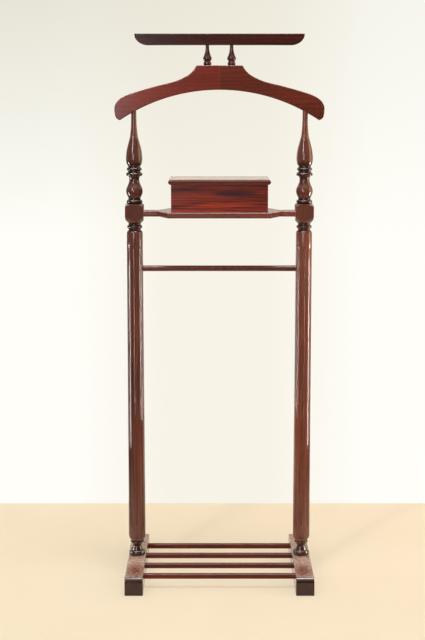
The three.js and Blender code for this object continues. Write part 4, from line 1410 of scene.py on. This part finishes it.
# %% Model the hanger
HANGER_HALF_SPAN, HANGER_HALF_THICK = 239.5, 12.0
CROWN_HEIGHT, CROWN_HALF = 55.0, 52.0
TIP_WIDTH, TIP_HEIGHT, TIP_FOOT = 27.0, 56.5, 12.0
HANGER_EDGE, SEAM_EDGE, DOWEL_EDGE = 2.2, 0.3, 0.8
SHOULDER = [(0, 0), (0.056, 0.194), (0.143, 0.358), (0.31, 0.537), (0.567, 0.692), (0.822, 0.858)]
TIP = [(1, 1), (0.41, 0.832), (0.093, 0.646), (0, 0.451), (0.056, 0.186), (0.185, 0.062)]
SEAM = 0.03
ARCH_STEPS = 40


def arch_drop(x):
    return ARCH_RADIUS - math.sqrt(ARCH_RADIUS ** 2 - x ** 2)


hanger_top = span("hanger_left_half")[1].z
arch_top = hanger_top - CROWN_HEIGHT
foot_x = HANGER_HALF_SPAN - TIP_FOOT
foot_z = -arch_drop(foot_x)
run = HANGER_HALF_SPAN - TIP_WIDTH - CROWN_HALF
fall = CROWN_HEIGHT - foot_z - TIP_HEIGHT
shoulder = flow([
    *[(CROWN_HALF + out * run, CROWN_HEIGHT - down * fall) for out, down in SHOULDER],
    *[(HANGER_HALF_SPAN - inset * TIP_WIDTH, foot_z + rise * TIP_HEIGHT) for inset, rise in TIP],
    (foot_x, foot_z),
], 5)
under = [foot_x * (1 - i / ARCH_STEPS) + SEAM * i / ARCH_STEPS for i in range(1, ARCH_STEPS + 1)]
half_outline = [(SEAM, CROWN_HEIGHT), *shoulder, *[(x, -arch_drop(x)) for x in under]]

left_arm = saw_out("left_arm", [(-x, arch_top + z) for x, z in half_outline], "xz", -HANGER_HALF_THICK,
                   HANGER_HALF_THICK)
work_on(left_arm, "EDIT")
pick("edges", lambda e: all(abs(abs(v.co.y) / MM - HANGER_HALF_THICK) < 0.01 for v in e.verts)
     and e.verts[0].co.y * e.verts[1].co.y > 0 and middle(e).x < -SEAM - 0.01)
bevel_picked(HANGER_EDGE, 5)
pick("edges", lambda e: abs(middle(e).x + SEAM) < 0.01)
bevel_picked(SEAM_EDGE, 2)
dowel_sizes = {}
for end in ("lower", "upper"):
    low, high = span(f"hanger_dowel_{end}")
    radius, through = (high.z - low.z) / 2, (0, 0, (low.z + high.z) / 2)
    drill(left_arm, "x", radius + CLEARANCE, low.x - CLEARANCE, 1, through, 24)
    dowel_sizes[end] = (radius, low.x, high.x, through, DOWEL_EDGE)
level(left_arm, 40)
right_arm = twin_of(left_arm, "right_arm")
dowels = {end: pin(f"joint_{end}", "x", *size) for end, size in dowel_sizes.items()}
print("Each arm of the hanger has", len(left_arm.data.polygons), "faces")

# %% [markdown]
# The left half is a brighter red, and the right one browner and darker, so each has its own tones.

# %% Finish the hanger
left_arm_finish = lacquered("left arm lacquer", "x", (130, 48, 33), (100, 36, 25), 0.6, band=0.009,
                            streak=0.25, rough=0.17)
right_arm_finish = lacquered("right arm lacquer", "x", (114, 48, 33), (86, 35, 24), 8.3, band=0.009,
                             streak=0.2, rough=0.17)
settle(left_arm, left_arm_finish, "hanger_left_half")
settle(right_arm, right_arm_finish, "hanger_right_half")
for end, dowel in dowels.items():
    settle(dowel, rod_finish, f"hanger_dowel_{end}")
print("The hanger is finished in two tones")

# %% [markdown]
# ## The spindles and the top rail
#
# Two small spindles, turned like the posts, carry the rail. The rail is a straight bar with a quarter round
# cut under each end, so that only a thin lip is left at the top. Two pins hold it to the spindles, and their
# heads show in its face as small dark spots.

# %% Model the spindles and the rail
SPINDLE_BASE, SPINDLE_WAIST, SPINDLE_BULB, SPINDLE_NECK = 9.0, 7.4, 10.2, 4.0
SPINDLE_GAP = 0.03
RAIL_END, RAIL_LIP, RAIL_EDGE = 30.0, 2.5, 1.6

spindle_x = centre_of("rail_pin_right").x
rail_low, rail_high = span("top_rail")
spindle_foot = hanger_top + SPINDLE_GAP
spindle_height = rail_low.z - SPINDLE_GAP - spindle_foot
spindle_curves = [
    flowing(spindle_height, [(0, SPINDLE_BASE - 0.6), (0.065, SPINDLE_BASE), (0.145, SPINDLE_BASE - 0.2),
                             (0.175, SPINDLE_WAIST)], 4),
    flowing(spindle_height, [(0.21, SPINDLE_WAIST), (0.285, SPINDLE_BULB - 0.6), (0.355, SPINDLE_BULB),
                             (0.44, SPINDLE_BULB - 1.6), (0.6, SPINDLE_NECK + 2),
                             (0.77, SPINDLE_NECK + 0.5), (1, SPINDLE_NECK)], 5),
]
spindle_profile = stack(spindle_foot, [(0, line) for _, line in spindle_curves])
left_spindle = smooth(turn_on_lathe("left_spindle", spindle_profile, 64, (-spindle_x, 0)), 32)
right_spindle = twin_of(left_spindle, "right_spindle")

centre, lip = rail_high.x - RAIL_END, rail_high.z - RAIL_LIP
round_cut = (RAIL_END, rail_high.z - rail_low.z - RAIL_LIP)
rail_outline = [
    *arc((-centre, lip), round_cut, math.pi, 1.5 * math.pi, 16),
    *arc((centre, lip), round_cut, 1.5 * math.pi, 2 * math.pi, 16),
    (rail_high.x, rail_high.z),
    (rail_low.x, rail_high.z),
]
rail = saw_out("top_bar", rail_outline, "xz", rail_low.y, rail_high.y)
work_on(rail, "EDIT")
pick("edges", lambda e: abs(e.verts[0].co.y - e.verts[1].co.y) < 1e-6)
bevel_picked(RAIL_EDGE, 4)
rail_pins = {}
for side in ("left", "right"):
    low, high = span(f"rail_pin_{side}")
    radius, spot = (high.z - low.z) / 2, (low + high) / 2
    drill(rail, "y", radius + CLEARANCE, rail_low.y - 1, 0, spot)
    rail_pins[side] = pin(f"pin_in_rail_{side}", "y", radius, low.y, high.y, spot, 0.3)
level(rail, 40)
print("The rail is", round(rail_high.x - rail_low.x), "mm long")

# %% [markdown]
# The rail and its spindles are the darkest wood of the stand. Last come the screws that hold the posts and
# the box from below, in dull steel, and the blackened pins.

# %% Finish the spindles, the rail and the screws
spindle_finish = lacquered("spindle lacquer", "z", (88, 40, 32), (56, 27, 22), 4.4, band=0.004, rough=0.08,
                           texture=0.25)
rail_finish = lacquered("rail lacquer", "x", (76, 31, 23), (42, 18, 14), 5.9, band=0.008, rough=0.2,
                        coat=0.75)
steel = metal("dull steel", (150, 147, 140), (92, 84, 76), 0.45, 1.7)
blackened = metal("blackened steel", (62, 48, 42), (38, 28, 25), 0.5, 2.3)

settle(left_spindle, spindle_finish, "rail_spindle_left")
settle(right_spindle, spindle_finish, "rail_spindle_right")
settle(rail, rail_finish, "top_rail")
for side, rail_pin in rail_pins.items():
    settle(rail_pin, blackened, f"rail_pin_{side}")
hidden = [(f"foot_screw_{side}", FOOT_SCREW, f"screw_under_{side}_foot") for side in ("left", "right")]
hidden += [(f"shelf_screw_{i}", SHELF_SCREW, f"screw_under_shelf_{i}") for i in range(1, 5)]
for node, size, name in hidden:
    centre = centre_of(node)
    settle(model_screw(name, size, (centre.x, centre.y, span(node)[0].z)), steel, node)
print("Every solid of the frame has its finished piece")

# %% The end
print("The stand is finished")
